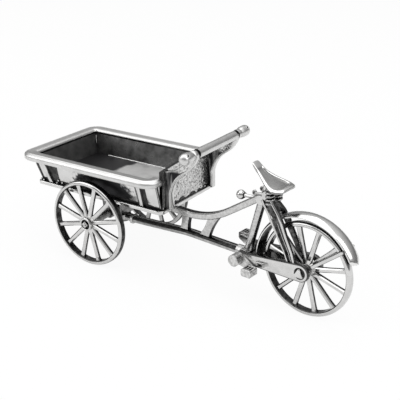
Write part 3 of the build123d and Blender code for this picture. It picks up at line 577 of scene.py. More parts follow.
def rim():
    """The broad rail round the tray: a crest near its outer side and a flat slope inwards."""
    y = WALL_FOOT_Y + FLARE - RIM_OVERLAP + RIM_HALF
    x = WALL_FOOT_X + FLARE - RIM_OVERLAP + RIM_HALF
    rear = BOARD_REAR + RIM_HALF
    end_y = WALL_FOOT_Y - RIM_OVERLAP
    bend = RIM_BEND
    route = [(rear, end_y, -1.0, 0.0)]
    low, high, across = rear + bend, x - bend, y - bend
    corners = ((low, across, 180), (high, across, 90), (high, -across, 0), (low, -across, -90))
    for corner_x, corner_y, start in corners:
        for step in range(RIM_BEND_STEPS + 1):
            angle = radians(start - 90 * step / RIM_BEND_STEPS)
            c, s = cos(angle), sin(angle)
            route.append((corner_x + bend * c, corner_y + bend * s, c, s))
    route.append((rear, -end_y, -1.0, 0.0))
    form = Form()
    rings = [[(px + u * wx, py + u * wy, RIM_TOP + z) for u, z in RIM_SECTION] for px, py, wx, wy in route]
    # The lower inner side and the underside of the rail are painted dark as shade under the rim
    form.skin(rings, [0] * (len(RIM_SECTION) - 3) + [1] * 3)
    return form


def on_wall(outline, side, lift):
    """An outline of (x, z) laid on a flaring side wall and lifted off it."""
    flare = FLARE / (WALL_HEAD - BASE_TOP)
    return [(x, side * (WALL_FOOT_Y + flare * (z - BASE_TOP) + lift), z) for x, z in outline]


def raised(form, outline, side, steps, step_kinds=None):
    """Raise an outline from a side wall."""
    rings = [on_wall(inwards(outline, inset), side, lift) for inset, lift in steps]
    form.skin(rings, step_kinds=step_kinds, caps=(None, 0))


def wall_panels(side):
    """Raised panels on a side wall, between the ribs, that leave dark channels round them."""
    form = Form()
    form.skin([on_wall(PANEL_BACKING, side, lift) for lift in (-0.1, 0.05)], 1, caps=(None, 1))
    for outline in PANELS:
        raised(form, outline, side, PANEL_STEPS, (1, 0, 1))
    return form


def ribs(side):
    """A leaning rib with an S-shaped rear edge in front, and a straight rib at the back."""
    form = Form()
    leaning = RIB_FRONT_EDGE + arc(*RIB_UPPER_ARC, 6) + arc(*RIB_LOWER_ARC, 6) + [RIB_LOWER_ARC[-1]]
    for outline in (leaning, STRAIGHT_RIB):
        raised(form, outline, side, RIB_STEPS)
    return form


# Rear board: each grain is features per millimetre and height, and the dark bands reach in grid squares
BOARD_REAR = -22.5
BOARD_HALF = 11.6
BOARD_TOP = 29.9
BOARD_CROWN = 0.7
BOARD_THICK = 0.9
BOARD_COLUMNS = 150
BOARD_ROWS = 66
BOARD_FADE = 6
COARSE_GRAIN = (1.9, 0.14)
FINE_GRAIN = (4.1, 0.12)
GRAIN_LIFT = 0.03
PEAK_FROM = 0.45
PEAK_HEIGHT = 0.2
DARK_BAND_NOISE_SCALE = 0.11
SHADED_FOOT_BAND = (3, 7)
DARK_SIDE_BAND = (5, 9)


def stipple(y, z):
    """The height of the punched grain at a place on the rear board."""
    scale, height = COARSE_GRAIN
    fine_scale, fine_height = FINE_GRAIN
    coarse = mnoise.noise(Vector((y * scale, z * scale, 3.0)))
    fine = mnoise.noise(Vector((y * fine_scale, z * fine_scale, 9.0)))
    ground = max(0.0, height * coarse + fine_height * fine + GRAIN_LIFT)
    return ground + PEAK_HEIGHT * max(0.0, fine + coarse - PEAK_FROM)


def rear_board():
    """The rear board with its stippled outer face, painted dark along its foot as the shade of the gap above
    the ledge, and dark along one side.
    """
    form = Form()
    points = []
    for row in range(BOARD_ROWS + 1):
        share = row / BOARD_ROWS
        for column in range(BOARD_COLUMNS + 1):
            u = 2 * column / BOARD_COLUMNS - 1
            y = BOARD_HALF * u
            z = BASE_TOP + (BOARD_TOP + BOARD_CROWN * (1 - u * u) - BASE_TOP) * row / BOARD_ROWS
            edge = min(1.0, 2 * BOARD_FADE * min(share, 1 - share), BOARD_FADE * (1 - abs(u)))
            points.append((BOARD_REAR + edge * stipple(y, z), y, z))
    faces, kinds = [], []
    # Dark bands: along the foot as painted shade of the gap above the ledge, and along one side
    for row, column, corners in grid_faces(BOARD_COLUMNS, BOARD_ROWS):
        faces.append(corners)
        rough = mnoise.noise(Vector((column * DARK_BAND_NOISE_SCALE, row * DARK_BAND_NOISE_SCALE, 5.0)))
        at_foot = row < SHADED_FOOT_BAND[0] + SHADED_FOOT_BAND[1] * rough
        at_side = column < DARK_SIDE_BAND[0] + DARK_SIDE_BAND[1] * rough
        kinds.append(1 if at_foot or at_side else 0)
    border = [0] + grid_border(BOARD_COLUMNS, BOARD_ROWS)[:0:-1]
    first = len(points)
    points += [(BOARD_REAR + BOARD_THICK, points[index][1], points[index][2]) for index in border]
    count = len(border)
    for index, here in enumerate(border):
        after = (index + 1) % count
        faces.append((here, border[after], first + after, first + index))
    faces.append(tuple(range(first, first + count)))
    form.add(points, faces, kinds + [1] * count + [2])
    return form


# Handlebar and brackets: the bar's section is radius and distance from the middle
BAR_X = -31.1
BAR_Z = 35.7
BAR_SIDES = 28
BAR_POLE = 0.02
GROOVE = 0.86
BAR_SECTION = (
    (BAR_POLE, 15.25), (0.5, 15.22), (1.0, 15.05), (1.36, 14.7), (1.49, 14.2), (1.5, 13.4), (1.45, 12.3),
    (1.3, 11.6), (1.12, 11.25), (1.1, 11.05), (1.24, 10.9), (1.28, 10.3), (1.2, 9.75), (GROOVE, 9.68),
    (GROOVE, 8.78), (1.2, 8.7), (1.24, 6.0), (1.2, 2.0),
)
DIMPLE_PLACE = (-0.95, 13.9, 1.05)
DIMPLE_WAY = (-0.67, 0.0, 0.74)
DIMPLE_RADIUS = 0.36
DIMPLE_RING = 0.42
BRACKET_Y = 9.7
BRACKET_HALF = 0.8
BRACKET_FOOT = (BOARD_REAR - 1.85, BASE_TOP + 4.6)
BRACKET_BELLY = (BOARD_REAR - 6.5, BASE_TOP + 11.1)
BRACKET_REAR = (BAR_X - 1.1, BAR_Z - 0.1)
BRACKET_HEAD = (BAR_X, BAR_Z + 0.75)
BRACKET_FRONT = (BAR_X + 1.15, BAR_Z - 0.1)
BRACKET_ROUND = 0.22
BEAD_INSET = 0.42
BEAD_RADIUS = 0.17
SCROLLS = ((-29.0, 32.3, 0.75), (-27.4, 30.9, 0.6))
SCROLL_STEPS = 22
SCROLL_TURN = 24
SCROLL_WIRE = 0.15


def bracket_outline():
    """A straight foot, a belly to the rear and an arm that ends round the bar."""
    board_top = (BOARD_REAR, BOARD_TOP)
    outline = [(BOARD_REAR, BASE_TOP), (BRACKET_FOOT[0], BASE_TOP)]
    outline += arc(BRACKET_FOOT, bulged(BRACKET_FOOT, BRACKET_BELLY, 0.63), BRACKET_BELLY, 12)
    outline += arc(BRACKET_BELLY, bulged(BRACKET_REAR, BRACKET_BELLY, -0.3), BRACKET_REAR, 8)
    outline += arc(BRACKET_REAR, BRACKET_HEAD, BRACKET_FRONT, 6)
    outline += arc(BRACKET_FRONT, bulged(BRACKET_FRONT, board_top, -0.9), board_top, 10)
    outline.append(board_top)
    return outline


def bracket(side):
    """A curved bracket with a bead along its rear edge and scrolls on its arm."""
    form = Form()
    outline = bracket_outline()
    low, high = BRACKET_Y - BRACKET_HALF, BRACKET_Y + BRACKET_HALF
    form.slab(outline, side, low, high, BRACKET_ROUND, 1)
    rear_edge = inwards(outline, BEAD_INSET)[1:22]
    for y in (low, high):
        form.tube([(x, side * y, z) for x, z in rear_edge], BEAD_RADIUS, 1, 8)
    for y in (low - 0.02, high + 0.02):
        for x, z, size in SCROLLS:
            spiral = []
            for step in range(SCROLL_STEPS):
                turned_x, turned_z = around(x, z, size * (1 - step / 30), radians(step * SCROLL_TURN - 60))
                spiral.append((turned_x, side * y, turned_z))
            form.tube(spiral, [SCROLL_WIRE - 0.003 * step for step in range(SCROLL_STEPS)], 1, 8)
    return form


def handlebar():
    """The bar with a dark groove over each bracket, and a knob with a dimple on each end."""
    form = Form()
    profile = both_ways(BAR_SECTION)
    rings = [
        [(BAR_X + radius * c, y, BAR_Z + radius * s) for c, s in circle(BAR_SIDES)]
        for radius, y in profile
    ]
    grooved = [int(GROOVE in (here[0], after[0])) for here, after in zip(profile, profile[1:])]
    form.skin(rings, step_kinds=grooved)
    x, y, z = DIMPLE_PLACE
    out = Vector(DIMPLE_WAY).normalized()
    along = Vector((0.0, 1.0, 0.0))
    other = out.cross(along)
    for side in (1, -1):
        centre = Vector((BAR_X + x, side * y, BAR_Z + z))
        ring = [centre + 0.06 * out + DIMPLE_RING * (c * along + s * other) for c, s in circle(16, 17)]
        form.tube(ring, THIN_WIRE, 0, 8)
        disc = [
            [centre + lift * out + DIMPLE_RADIUS * (c * along + s * other) for c, s in circle(16)]
            for lift in (-0.1, 0.1)
        ]
        form.skin(disc, 1, caps=(1, 1))
    return form


# Saddle: the side is x and y, the steps are a share of the outline, a lift and a kind
SADDLE_REAR = (-55.3, 30.3)
SADDLE_MIDDLE = (-50.35, 31.35)
SADDLE_NOSE = (-45.4, 34.9)
SADDLE_CENTRE = -51.3
SADDLE_HEIGHT = 0.85
SADDLE_DROOP = 0.026
SADDLE_SIDE = (
    (-55.5, 0.0), (-55.5, 1.8), (-55.2, 2.9), (-54.4, 3.7), (-53.1, 4.1), (-51.6, 3.65),
    (-50.0, 2.85), (-48.5, 2.0), (-47.3, 1.5), (-46.3, 1.4), (-45.5, 1.25), (-45.35, 0.6),
)
# Kinds: 0 the bright rim, 1 the underside painted dark as shade, 2 the dish, 3 the rim's outer wall painted
# darker grey as shade
SADDLE_STEPS = (
    (0.2, -0.85, 0), (0.93, -0.9, 1), (1.0, -0.62, 3), (1.0, -0.38, 3), (0.98, -0.18, 0), (0.94, -0.06, 0),
    (0.89, -0.01, 0), (0.82, -0.01, 0), (0.77, -0.05, 0), (0.74, -0.18, 0), (0.72, -0.34, 2), (0.6, -0.38, 2),
    (0.42, -0.4, 2), (0.2, -0.44, 2),
)


def cut_corners(line, times):
    """Round a closed line of points by cutting its corners again and again."""
    for _ in range(times):
        rounder = []
        for here, after in zip(line, line[1:] + line[:1]):
            for near in (0.75, 0.25):
                rounder.append(tuple(near * a + (1 - near) * b for a, b in zip(here, after)))
        line = rounder
    return line


def saddle():
    """A leaf with a raised bright rim round a grey dish, turned up at the nose and drooping at its sides; the
    rim's outer wall is painted darker grey and its underside dark, as shade.
    """
    bend_x, bend_z, bend = circle_through(SADDLE_REAR, SADDLE_MIDDLE, SADDLE_NOSE)
    far_side = [(x, -y) for x, y in SADDLE_SIDE[:0:-1]]
    outline = cut_corners(list(SADDLE_SIDE) + far_side, 3)
    rings = []
    for share, lift, _ in SADDLE_STEPS:
        ring = []
        for along, across in outline:
            x, y = SADDLE_CENTRE + share * (along - SADDLE_CENTRE), share * across
            under = bend_z - sqrt(bend * bend - (x - bend_x) ** 2)
            ring.append((x, y, under + SADDLE_HEIGHT + lift - SADDLE_DROOP * y * y))
        rings.append(ring)
    form = Form()
    form.skin(rings, step_kinds=[kind for _, _, kind in SADDLE_STEPS[1:]], caps=(1, 2))
    return form


# Mudguard: angles about the rear axle, and its stays as distance and half width
GUARD_START = radians(-6.0)
GUARD_END = radians(158.0)
GUARD_RADIUS = 13.1
GUARD_HALF = 2.0
GUARD_CROWN = 0.5
GUARD_UNDER = 0.2
GUARD_TOP = 0.6
GUARD_ROLL = 0.16
GUARD_EDGE = (0.36, 0.12)
GUARD_END_ROUND = 1.6
GUARD_SHADED_UNTIL = 0.38
GUARD_ROWS = 170
GUARD_COLUMNS = 14
GUARD_STAY_ANGLE = radians(141.0)
GUARD_STAY_INNER = 1.98
GUARD_STAY_OUTER = 2.5
GUARD_STAY_ROUND = 0.12
GUARD_STAY = (
    (1.9, 0.45), (12.9, 0.45), (13.35, 0.3), (13.5, 0.0), (13.35, -0.3), (12.9, -0.45), (1.9, -0.45),
)


def smooth(value, low, high):
    share = min(max((value - low) / (high - low), 0.0), 1.0)
    return share * share * (3 - 2 * share)


def on_guard(s, u, lift):
    """A place on the mudguard: s runs from its front end to its rear end, u from side to side."""
    gap = min(s, 1 - s) * (GUARD_END - GUARD_START) * GUARD_RADIUS
    half = GUARD_HALF * sqrt(max(1 - (1 - min(gap / GUARD_END_ROUND, 1.0)) ** 2, 0.02))
    angle = GUARD_START + (GUARD_END - GUARD_START) * s
    x, z = around(REAR_X, AXLE_Z, GUARD_RADIUS + GUARD_CROWN * (1 - u * u) + lift, angle)
    return x, u * half, z


def mudguard():
    """A crowned strip over the rear wheel with rounded ends and a rolled edge on each side."""
    upper, lower = [], []
    for row in range(GUARD_ROWS + 1):
        for column in range(GUARD_COLUMNS + 1):
            s, u = row / GUARD_ROWS, 2 * column / GUARD_COLUMNS - 1
            upper.append(on_guard(s, u, GUARD_TOP - GUARD_ROLL * smooth(abs(u), 0.8, 1.0)))
            lower.append(on_guard(s, u, GUARD_UNDER))
    count = len(upper)
    faces, kinds = [], []
    # Painted shade: the front part of the top, by the seat tube, and all of the underside are dark
    for row, _, corners in grid_faces(GUARD_COLUMNS, GUARD_ROWS):
        faces += [corners, tuple(count + index for index in reversed(corners))]
        kinds += [int((row + 0.5) / GUARD_ROWS < GUARD_SHADED_UNTIL), 1]
    border = grid_border(GUARD_COLUMNS, GUARD_ROWS)
    for here, after in zip(border, border[1:] + border[:1]):
        faces.append((here, count + here, count + after, after))
        kinds.append(0)
    form = Form()
    form.add(upper + lower, faces, kinds)
    lift, inset = GUARD_EDGE
    for side in (1, -1):
        line = []
        for step in range(101):
            x, y, z = on_guard(0.012 + 0.976 * step / 100, 1.0, lift)
            line.append((x, side * (abs(y) - inset), z))
        form.tube(line, THIN_WIRE, 0, 8)
    return form


def guard_stays():
    """Flat stays from the rear hub to the mudguard's edges."""
    form = Form()
    c, s = cos(GUARD_STAY_ANGLE), sin(GUARD_STAY_ANGLE)
    outline = [(REAR_X + run * c - width * s, AXLE_Z + run * s + width * c) for run, width in GUARD_STAY]
    for side in (1, -1):
        form.slab(outline, side, GUARD_STAY_INNER, GUARD_STAY_OUTER, GUARD_STAY_ROUND, 1)
    return form


# Seat stays: the places in x and z of both borders, and the distances of the inner and outer faces
SEAT_STAY = (
    ((-48.9, 27.0), (-52.1, 27.7), 1.2, 2.3), ((-49.5, 26.1), (-52.7, 26.8), 1.2, 2.4),
    ((-51.4, 23.9), (-54.5, 25.0), 1.9, 2.8), ((-52.35, 22.3), (-55.8, 22.9), 2.2, 3.0),
    ((-54.05, 19.5), (-57.1, 19.6), 2.2, 3.0), ((-56.1, 16.1), (-58.7, 16.3), 2.2, 3.0),
    ((-57.4, 13.4), (-59.4, 14.0), 2.2, 3.0), ((-57.8, 12.4), (-59.6, 12.9), 2.2, 3.0),
)
# The outer face as shares of the way across and depths
STAY_FACE = (
    (0.0, 0.12), (0.06, 0.0), (0.2, 0.0), (0.27, 0.35), (0.73, 0.35), (0.8, 0.0), (0.94, 0.0), (1.0, 0.12),
)
# Kind 1 is the blackened hollow and, on the inner face and its edges, painted shade
STAY_KINDS = [0, 0, 1, 1, 1, 0, 0, 1, 1, 1]
STAY_RIDGE = (0.55, 0.3)
STAY_RIDGE_FROM = 3
FAR_STAY_WIDTH = 0.5


def seat_stays():
    """Broad stays with a bright border on each side of a blackened hollow, and inner faces painted dark as
    the shade between the stays.
    """
    form = Form()
    ridge_share, ridge_depth = STAY_RIDGE
    for side in (1, -1):
        wide = 1.0 if side > 0 else FAR_STAY_WIDTH
        rings, ridge = [], []
        for (x, z), (other_x, other_z), inner, outer in SEAT_STAY:
            run, rise = other_x - x, other_z - z
            ring = []
            for share, depth in STAY_FACE:
                ring.append((x + share * wide * run, side * (outer - depth), z + share * wide * rise))
            ring.append((ring[-1][0], side * inner, ring[-1][2]))
            ring.append((x, side * inner, z))
            rings.append(ring)
            ridge.append((x + ridge_share * run, side * (outer - ridge_depth), z + ridge_share * rise))
        form.skin(rings, STAY_KINDS)
        form.tube(ridge[STAY_RIDGE_FROM:], THIN_WIRE, 0, 8)
    return form


# Saddle springs
SPRING_X = -51.2
SPRING_Y = 1.7
SPRING_FOOT = 26.4
SPRING_HEAD = 30.6
SPRING_RADIUS = 0.9
SPRING_TURNS = 4.6
SPRING_STEPS = 114
SPRING_WIRE = 0.29
SPRING_SHADE_CORE = 0.6
CLAMP_X = -50.14
CLAMP_Z = 28.2
RAIL = ((0.0, 1.55, 0.0), (2.0, 1.6, 0.12), (3.2, 1.6, -0.1))
RAIL_WIRE = 0.33
CURL_X = CLAMP_X + 3.5
CURL_Y = 1.6
CURL_WIRE = 0.2
CURL_SHADE_CORE = 0.22


def springs():
    """Two coil springs at the back and two rails that end in curls in front, with a dark core in each coil
    and curl as painted shade.
    """
    form = Form()
    for side in (1, -1):
        coil = []
        for step in range(SPRING_STEPS + 1):
            angle = 2 * pi * SPRING_TURNS * step / SPRING_STEPS
            z = SPRING_FOOT + (SPRING_HEAD - SPRING_FOOT) * step / SPRING_STEPS
            coil.append((*around(SPRING_X, side * SPRING_Y, SPRING_RADIUS, angle), z))
        form.tube(coil, SPRING_WIRE)
        y = side * SPRING_Y
        form.tube([(SPRING_X, y, SPRING_FOOT - 0.1), (SPRING_X, y, SPRING_HEAD)], SPRING_SHADE_CORE, 1, 12)
        form.tube([(CLAMP_X + run, side * across, CLAMP_Z + up) for run, across, up in RAIL], RAIL_WIRE)
        curl = []
        for step in range(20):
            x, z = around(CURL_X, CLAMP_Z, 0.46 + 0.008 * step, radians(110 - step * 20))
            curl.append((x, side * CURL_Y, z))
        form.tube(curl, CURL_WIRE, 0, 8)
        form.tube([(CURL_X, side * y, CLAMP_Z) for y in (1.3, 1.9)], CURL_SHADE_CORE, 1)
    return form


# Lever, with its ball, its neck's points and radii and the dark ring on its neck
LEVER_BALL = (-41.5, 0.0, 25.9)
LEVER_BALL_RADIUS = 1.2
LEVER_NECK = ((-42.4, 0.0, 25.98), (-43.4, 0.0, 26.05), (-45.4, 0.0, 26.2), (-47.6, 0.0, 26.4))
LEVER_RADII = (0.55, 0.42, 0.45, 0.6)
LEVER_RING = (-42.6, 26.0, 0.55)


def lever():
    """The ball-ended lever in front of the saddle."""
    form = Form()
    form.ball(LEVER_BALL, LEVER_BALL_RADIUS, 24)
    form.tube(LEVER_NECK, LEVER_RADII, 0, 14)
    x, z, radius = LEVER_RING
    form.tube([(x + 0.02 * c, radius * c, z + radius * s) for c, s in circle(20, 21)], 0.16, 1, 8)
    return form


# Reach bar: its route is x and the height of its middle
REACH_ROUTE = (
    (-1.6, 9.0), (-3.6, 9.0), (-6.0, 9.12), (-10.0, 9.45), (-16.0, 10.02),
    (-20.0, 10.4), (-22.6, 10.66), (-24.0, 10.78), (-26.0, 10.85), (-41.4, 10.85),
)
REACH_HALF_WIDTH = 1.25
REACH_HALF_HEIGHT = 0.75
# Painted shade: the upper sides, the top and the underside of the bar are dark, as it lies in the shade under
# the tray; the thin ridge and the lower sides stay bright
REACH_KINDS = [0, 1, 1, 1, 1, 1, 0, 1, 1, 1, 1, 1, 0, 0, 0, 1, 0, 0]
EYE_Z = 9.0
EYE_SECTION = ((1.05, -0.75), (2.0, -0.75), (2.1, -0.65), (2.1, 0.65), (2.0, 0.75), (1.05, 0.75))


def reach_bar():
    """The lower bar: bright lower sides, the upper sides, top and underside painted dark as shade under the
    tray with a thin bright ridge on top, and its eye round the kingpin.
    """
    form = Form()
    w, h = REACH_HALF_WIDTH, REACH_HALF_HEIGHT
    flank = ((0.3 - h, w), (0.15, w), (h - 0.28, w), (h - 0.1, w - 0.1), (h, w - 0.28))
    section = both_ways((*flank, (h, 0.35), (h + 0.06, 0.25)))
    section += both_ways(((0.1 - h, 0.12 - w), (-h, 0.35 - w)))
    form.skin([[(x, y, z + rise) for rise, y in section] for x, z in REACH_ROUTE], REACH_KINDS)
    eye = [[(radius * c, radius * s, EYE_Z + up) for radius, up in EYE_SECTION] for c, s in circle(48)]
    form.skin(eye, loop=True)
    return form


# Chain cases as lift and radius at the crank and at the axle
CASE_INNER = 2.15
CASE_OUTER = 3.35
CASE_ROUND = 0.3
NEAR_CASE = (0.0, 1.35, 0.0, 2.3)
FAR_CASE = (0.5, 2.1, 0.2, 2.6)
CRANK_X = -43.9
CRANK_Z = 10.8
LINK_STEPS = 14

# Nuts as the reach and the radius of their corners, foot, head and the rounding of their edges
WASHER_RADIUS = 1.5
WASHER_THICK = 0.12
WASHER_ROUND = 0.03
REAR_NUT = (1.0, 0.34, 0.1, 0.7, 0.16)
FRONT_NUT = (0.82, 0.14, 0.15, 0.85, 0.25)


def round_link(first, first_radius, last, last_radius):
    """The outline round two circles in X and Z."""
    run = hypot(last[0] - first[0], last[1] - first[1])
    tilt = atan2(last[1] - first[1], last[0] - first[0])
    lean = asin((first_radius - last_radius) / run)
    outline = []
    for centre, radius, start, span in (
        (last, last_radius, tilt - pi / 2 + lean, pi - 2 * lean),
        (first, first_radius, tilt + pi / 2 - lean, pi + 2 * lean),
    ):
        for step in range(LINK_STEPS + 1):
            outline.append(around(*centre, radius, start + span * step / LINK_STEPS))
    return outline


def chain_case(side):
    """A case round the chain with dark edges and its inner face painted dark as the shade between the cases;
    the far one is taller.
    """
    form = Form()
    lift, radius, rear_lift, rear_radius = NEAR_CASE if side > 0 else FAR_CASE
    outline = round_link((CRANK_X, CRANK_Z + lift), radius, (REAR_X, AXLE_Z + rear_lift), rear_radius)
    form.slab(outline, side, CASE_INNER, CASE_OUTER, CASE_ROUND, 1, (1, 0))
    return form


def nut_outline(x, corners, first_angle, reach, bend, steps):
    """A regular polygon in X and Z round an axle, with rounded corners."""
    outline = []
    turn = 360 / corners
    for corner in range(corners):
        middle = radians(first_angle + turn * corner)
        centre = around(x, AXLE_Z, reach, middle)
        for step in range(steps):
            angle = middle + radians(turn * step / (steps - 1) - turn / 2)
            outline.append(around(*centre, bend, angle))
    return outline


def rear_nuts():
    """Triangular nuts, each on a washer."""
    form = Form()
    washer = [(REAR_X + WASHER_RADIUS * c, AXLE_Z + WASHER_RADIUS * s) for c, s in circle(24)]
    reach, bend, foot, head, edge = REAR_NUT
    outline = nut_outline(REAR_X, 3, 90, reach, bend, 7)
    for side in (1, -1):
        form.slab(washer, side, CASE_OUTER, CASE_OUTER + WASHER_THICK, WASHER_ROUND, 1, (1, 1))
        form.slab(outline, side, CASE_OUTER + foot, CASE_OUTER + head, edge)
    return form


def front_nuts():
    """Square nuts that stand on their corners in the hubs' recesses."""
    form = Form()
    reach, bend, foot, head, edge = FRONT_NUT
    outline = nut_outline(0.0, 4, 0, reach, bend, 5)
    face = FRONT_Y + FRONT_HUB_HALF - HUB_RECESS
    for side in (1, -1):
        form.slab(outline, side, face + foot, face + head, edge)
    return form


# Beads as x, y, z and radius, and thin bright wires that stand in for a highlight along the floor seam and in
# the front corners
BEADS = (
    (19.3, 12.0, 19.85, 0.36), (18.3, 12.1, 19.8, 0.3), (12.6, 12.2, 20.75, 0.34), (11.3, 12.1, 20.3, 0.34),
    (13.4, 12.0, 19.85, 0.3),
)
SEAM_HIGHLIGHT_Y = 10.98
SEAM_HIGHLIGHT_Z = 21.16
CORNER_HIGHLIGHT_LINE = ((19.55, 12.05, 26.3), (19.2, 11.7, 25.0), (18.9, 11.4, 24.0))


def beads():
    """Small beads where the walls meet the ledge at the front, and thin bright wires in the tray that stand
    in for highlights.
    """
    form = Form()
    for side in (1, -1):
        for x, y, z, radius in BEADS:
            form.ball((x, side * y, z), radius, 12)
        form.tube([(x, side * (SEAM_HIGHLIGHT_Y + 0.05 * sin(2.1 * x)), SEAM_HIGHLIGHT_Z) for x in range(-9, 15)], 0.16)
        form.tube([(x, side * y, z) for x, y, z in CORNER_HIGHLIGHT_LINE], [0.28, 0.2, 0.08])
    return form


scene.view_settings.view_transform = "Standard"
add_camera()
add_floor()
add_world()
for lamp_name, lamp_values in LAMPS.items():
    add_lamp(lamp_name, *lamp_values)

# Places painted dark as reflections and places left bright, as centres and radii in millimetres in the frame
WHEEL_REFLECTION_PLACE = ((KINGPIN_X - 3.5, 0.0, 20.5), (10.5, 60.0, 6.5))
FLOOR_LIGHT = ((KINGPIN_X - 12.5, 0.0, 21.0), (16.5, 26.0, 9.0))
ARM_FROM = 30.6
ARM_TO = 31.8


def wheel_reflection_zone(tree, point):
    """The wall behind the wheels is painted dark as a reflection of the wheels."""
    reflection_share = ball_share(tree, point, *WHEEL_REFLECTION_PLACE, soft=0.08, wobble=0.32, scale=700.0)
    return spread(tree, calculate(tree, "SUBTRACT", 1.0, reflection_share), 0.0, 1.0, 0.04, 1.0)


def floor_reflection_zone(tree, point):
    """A bright patch of the tray's floor; the rest is painted dark as a reflection of the front wall."""
    light = ball_share(tree, point, *FLOOR_LIGHT, soft=0.04, wobble=0.1, scale=330.0)
    return spread(tree, light, 0.0, 1.0, 0.035, 1.0)


def bracket_zone(tree, point):
    """Bright arms above dark feet with faint upright streaks."""
    arm = height_share(tree, point, ARM_FROM, ARM_TO, wobble=0.6, scale=700.0)
    streaks = spread(tree, noise(tree, point, 1300.0, 2.0, (1.0, 1.0, 0.12)), 0.48, 0.72, 0.02, 0.5)
    return calculate(tree, "MAXIMUM", arm, streaks)


def front_wall_zone(tree, point):
    """The front wall is bright only where it faces forwards; its inner face is painted dark as the shade
    inside the tray.
    """
    return spread(tree, facing(tree, (1.0, 0.0, 0.0), 0.2, 0.5, False), 0.0, 1.0, 0.3, 1.0)


bright = silver("polished silver")
rounded = silver("polished silver with rounded edges", round_edges=0.14)
# Black patina in hollows, and painted shade under things and between parts
dark = silver("blackened silver and painted shade", tone=0.1, cloud=(0.35, 800.0), dull=0.5, polish=0.26)
# Painted reflection on the front wheels' treads; blackened hub recesses; dark tyre insides and spoke sides
wheel_dark_and_reflection = silver("blackened side faces", tone=0.16, cloud=(0.2, 900.0), dull=0.5, polish=0.22)
wheel_silver = silver("silver of the wheels", recess_reach=0.8, recess_from=0.18, recess_to=0.55)
# Painted shade and dark reflections: the frame's bars are bright only on faces that point sideways; their
# tops, undersides, fronts and backs are painted dark
frame_silver = silver("silver of the frame", face=(REAR_SIDEWAYS, 0.22, 0.62), round_edges=0.16, tone=0.95,
                      cloud=(0.72, 1700.0))
# Painted shade: the parts under the tray take a dimmer tone
front_dark = silver("silver under the tray", tone=0.45, cloud=(0.55, 900.0), round_edges=0.14, polish=0.2)
# Painted shade: the walls inside the tray take a dim tone and a long reach of darkening into the corners, for
# the shade inside the tray; the clouds are mottled tarnish
inner_wall = silver("silver inside the tray", tone=0.46, recess_reach=3.2, recess_from=0.05, recess_to=0.85,
                    cloud=(0.25, 330.0), polish=0.26, grain=0.012)
front_wall_silver = silver("silver of the front wall", recess_reach=3.0, recess_from=0.0, cloud=(0.6, 420.0),
                           polish=0.2, dull=0.4, zone=front_wall_zone)
# Painted reflection: the tray's floor is dark outside its bright patch
floor_silver = silver("silver of the tray's floor", tone=1.15, recess_reach=1.2, zone=floor_reflection_zone, polish=0.42,
                      cloud=(0.85, 300.0), grain=0.008)
# Painted reflection: the panels behind the front wheels are dark
panel_silver = silver("silver of the panels", zone=wheel_reflection_zone, cloud=(0.9, 350.0), polish=0.13)
board_silver = silver("silver of the rear board", tone=1.1, polish=0.2, recess_reach=0.35, recess_from=0.62,
                      recess_to=0.86, cloud=(0.42, 2300.0), grain=0.02)
bracket_silver = silver("silver of the brackets", zone=bracket_zone)
rim_silver = silver("silver of the rim", tone=1.02, polish=0.34, recess_reach=0.6, cloud=(0.9, 420.0),
                    wave=0.012)
crank_silver = silver("silver of the crank", tone=1.05, cloud=(0.55, 1300.0), polish=0.14, recess_reach=1.4,
                      recess_from=0.3, recess_to=0.8, round_edges=0.22)
guard_silver = silver("silver of the mudguard", tone=1.25, polish=0.16, wave=0.02)
stay_hollow_and_shade = silver("blackened hollows and painted shade of the stays", tone=0.22, cloud=(0.05, 1100.0), dull=0.5, polish=0.2)
dish_silver = silver("silver of the saddle's dish", tone=0.72, cloud=(0.88, 700.0), polish=0.24, grain=0.01)
saddle_edge_shade = silver("silver of the saddle's edge, painted darker as shade", tone=0.55, cloud=(0.85, 700.0), polish=0.2)
# Painted shade: the springs under the saddle take a dim tone
spring_silver = silver("silver of the springs", tone=0.62, recess_reach=0.9, recess_from=0.35, recess_to=0.85)
bar_silver = silver("silver of the lower bar", tone=0.8, cloud=(0.62, 700.0), polish=0.14)
case_edge = silver("dark edges and painted shade of the chain cases", tone=0.25, cloud=(0.5, 600.0), polish=0.2)

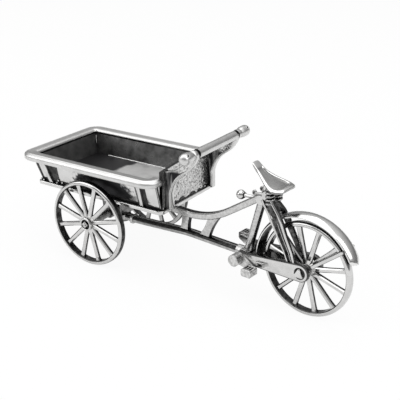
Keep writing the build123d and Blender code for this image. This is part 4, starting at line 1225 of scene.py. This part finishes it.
# The front wheels have treads painted dark, as a reflection
wheel("front_left_wheel", (0.0, FRONT_Y, AXLE_Z), FRONT_HUB_HALF, 1)
wheel("front_right_wheel", (0.0, -FRONT_Y, AXLE_Z), FRONT_HUB_HALF, 1)
wheel("rear_wheel", (REAR_X, 0.0, AXLE_Z), REAR_HUB_HALF, 0)
for word, side in (("left", 1), ("right", -1)):
    make(word + "_panels", "carriage", wall_panels(side), (panel_silver, dark))
    make(word + "_ribs", "carriage", ribs(side), (bright,), ("side_ribs_" + word,))
    make(word + "_bracket", "carriage", bracket(side), (bracket_silver, bright), ("handle_bracket_" + word,))
    make(word + "_chain_case", "rear_frame", chain_case(side), (bright, case_edge), ("chain_stay_" + word,))
make("rolled_rim", "carriage", rim(), (rim_silver, dark), ("tray_rim",))
make("stippled_board", "carriage", rear_board(), (board_silver, dark, inner_wall), ("tray_rear_board",))
make("turned_handlebar", "carriage", handlebar(), (rim_silver, dark),
     ("handlebar", "handle_grip_left", "handle_grip_right"))
make("ledge_beads", "carriage", beads(), (bright,))
make("diamond_nuts", "carriage", front_nuts(), (bright,), ("front_axle_nuts",))
make("leaf_saddle", "rear_frame", saddle(), (guard_silver, dark, dish_silver, saddle_edge_shade), ("saddle",))
make("ball_lever", "rear_frame", lever(), (bright, dark), ("top_lever",))
make("banded_reach_bar", "rear_frame", reach_bar(), (bar_silver, dark), ("reach_bar",))
make("crowned_mudguard", "rear_frame", mudguard(), (guard_silver, dark), ("mudguard",))
make("coil_springs", "rear_frame", springs(), (spring_silver, dark), ("saddle_springs",))
make("recessed_stays", "rear_frame", seat_stays(), (bright, stay_hollow_and_shade), ("seat_stays",))
make("mudguard_struts", "rear_frame", guard_stays(), (bright, case_edge), ("mudguard_stays",))
make("triangular_nuts", "rear_frame", rear_nuts(), (bright, dark), ("rear_axle_nuts",))

# Materials of the CAD nodes; those not named here take the silver with rounded edges
cad_looks = {
    frame_silver: ("backbone", "strut_front", "strut_rear", "seat_tube"),
    crank_silver: ("crank", "pedals", "bottom_bracket"),
    front_dark: ("front_axle", "kingpin", "axle_bolster", "pivot_plate", "axle_hangers"),
    inner_wall: ("tray_left_wall", "tray_right_wall"),
    front_wall_silver: ("tray_front_wall",),
    floor_silver: ("tray_floor",),
}
look_of = {node: look for look, members in cad_looks.items() for node in members}
for name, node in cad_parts.items():
    node.data.materials.clear()
    node.data.materials.append(look_of.get(name, rounded))
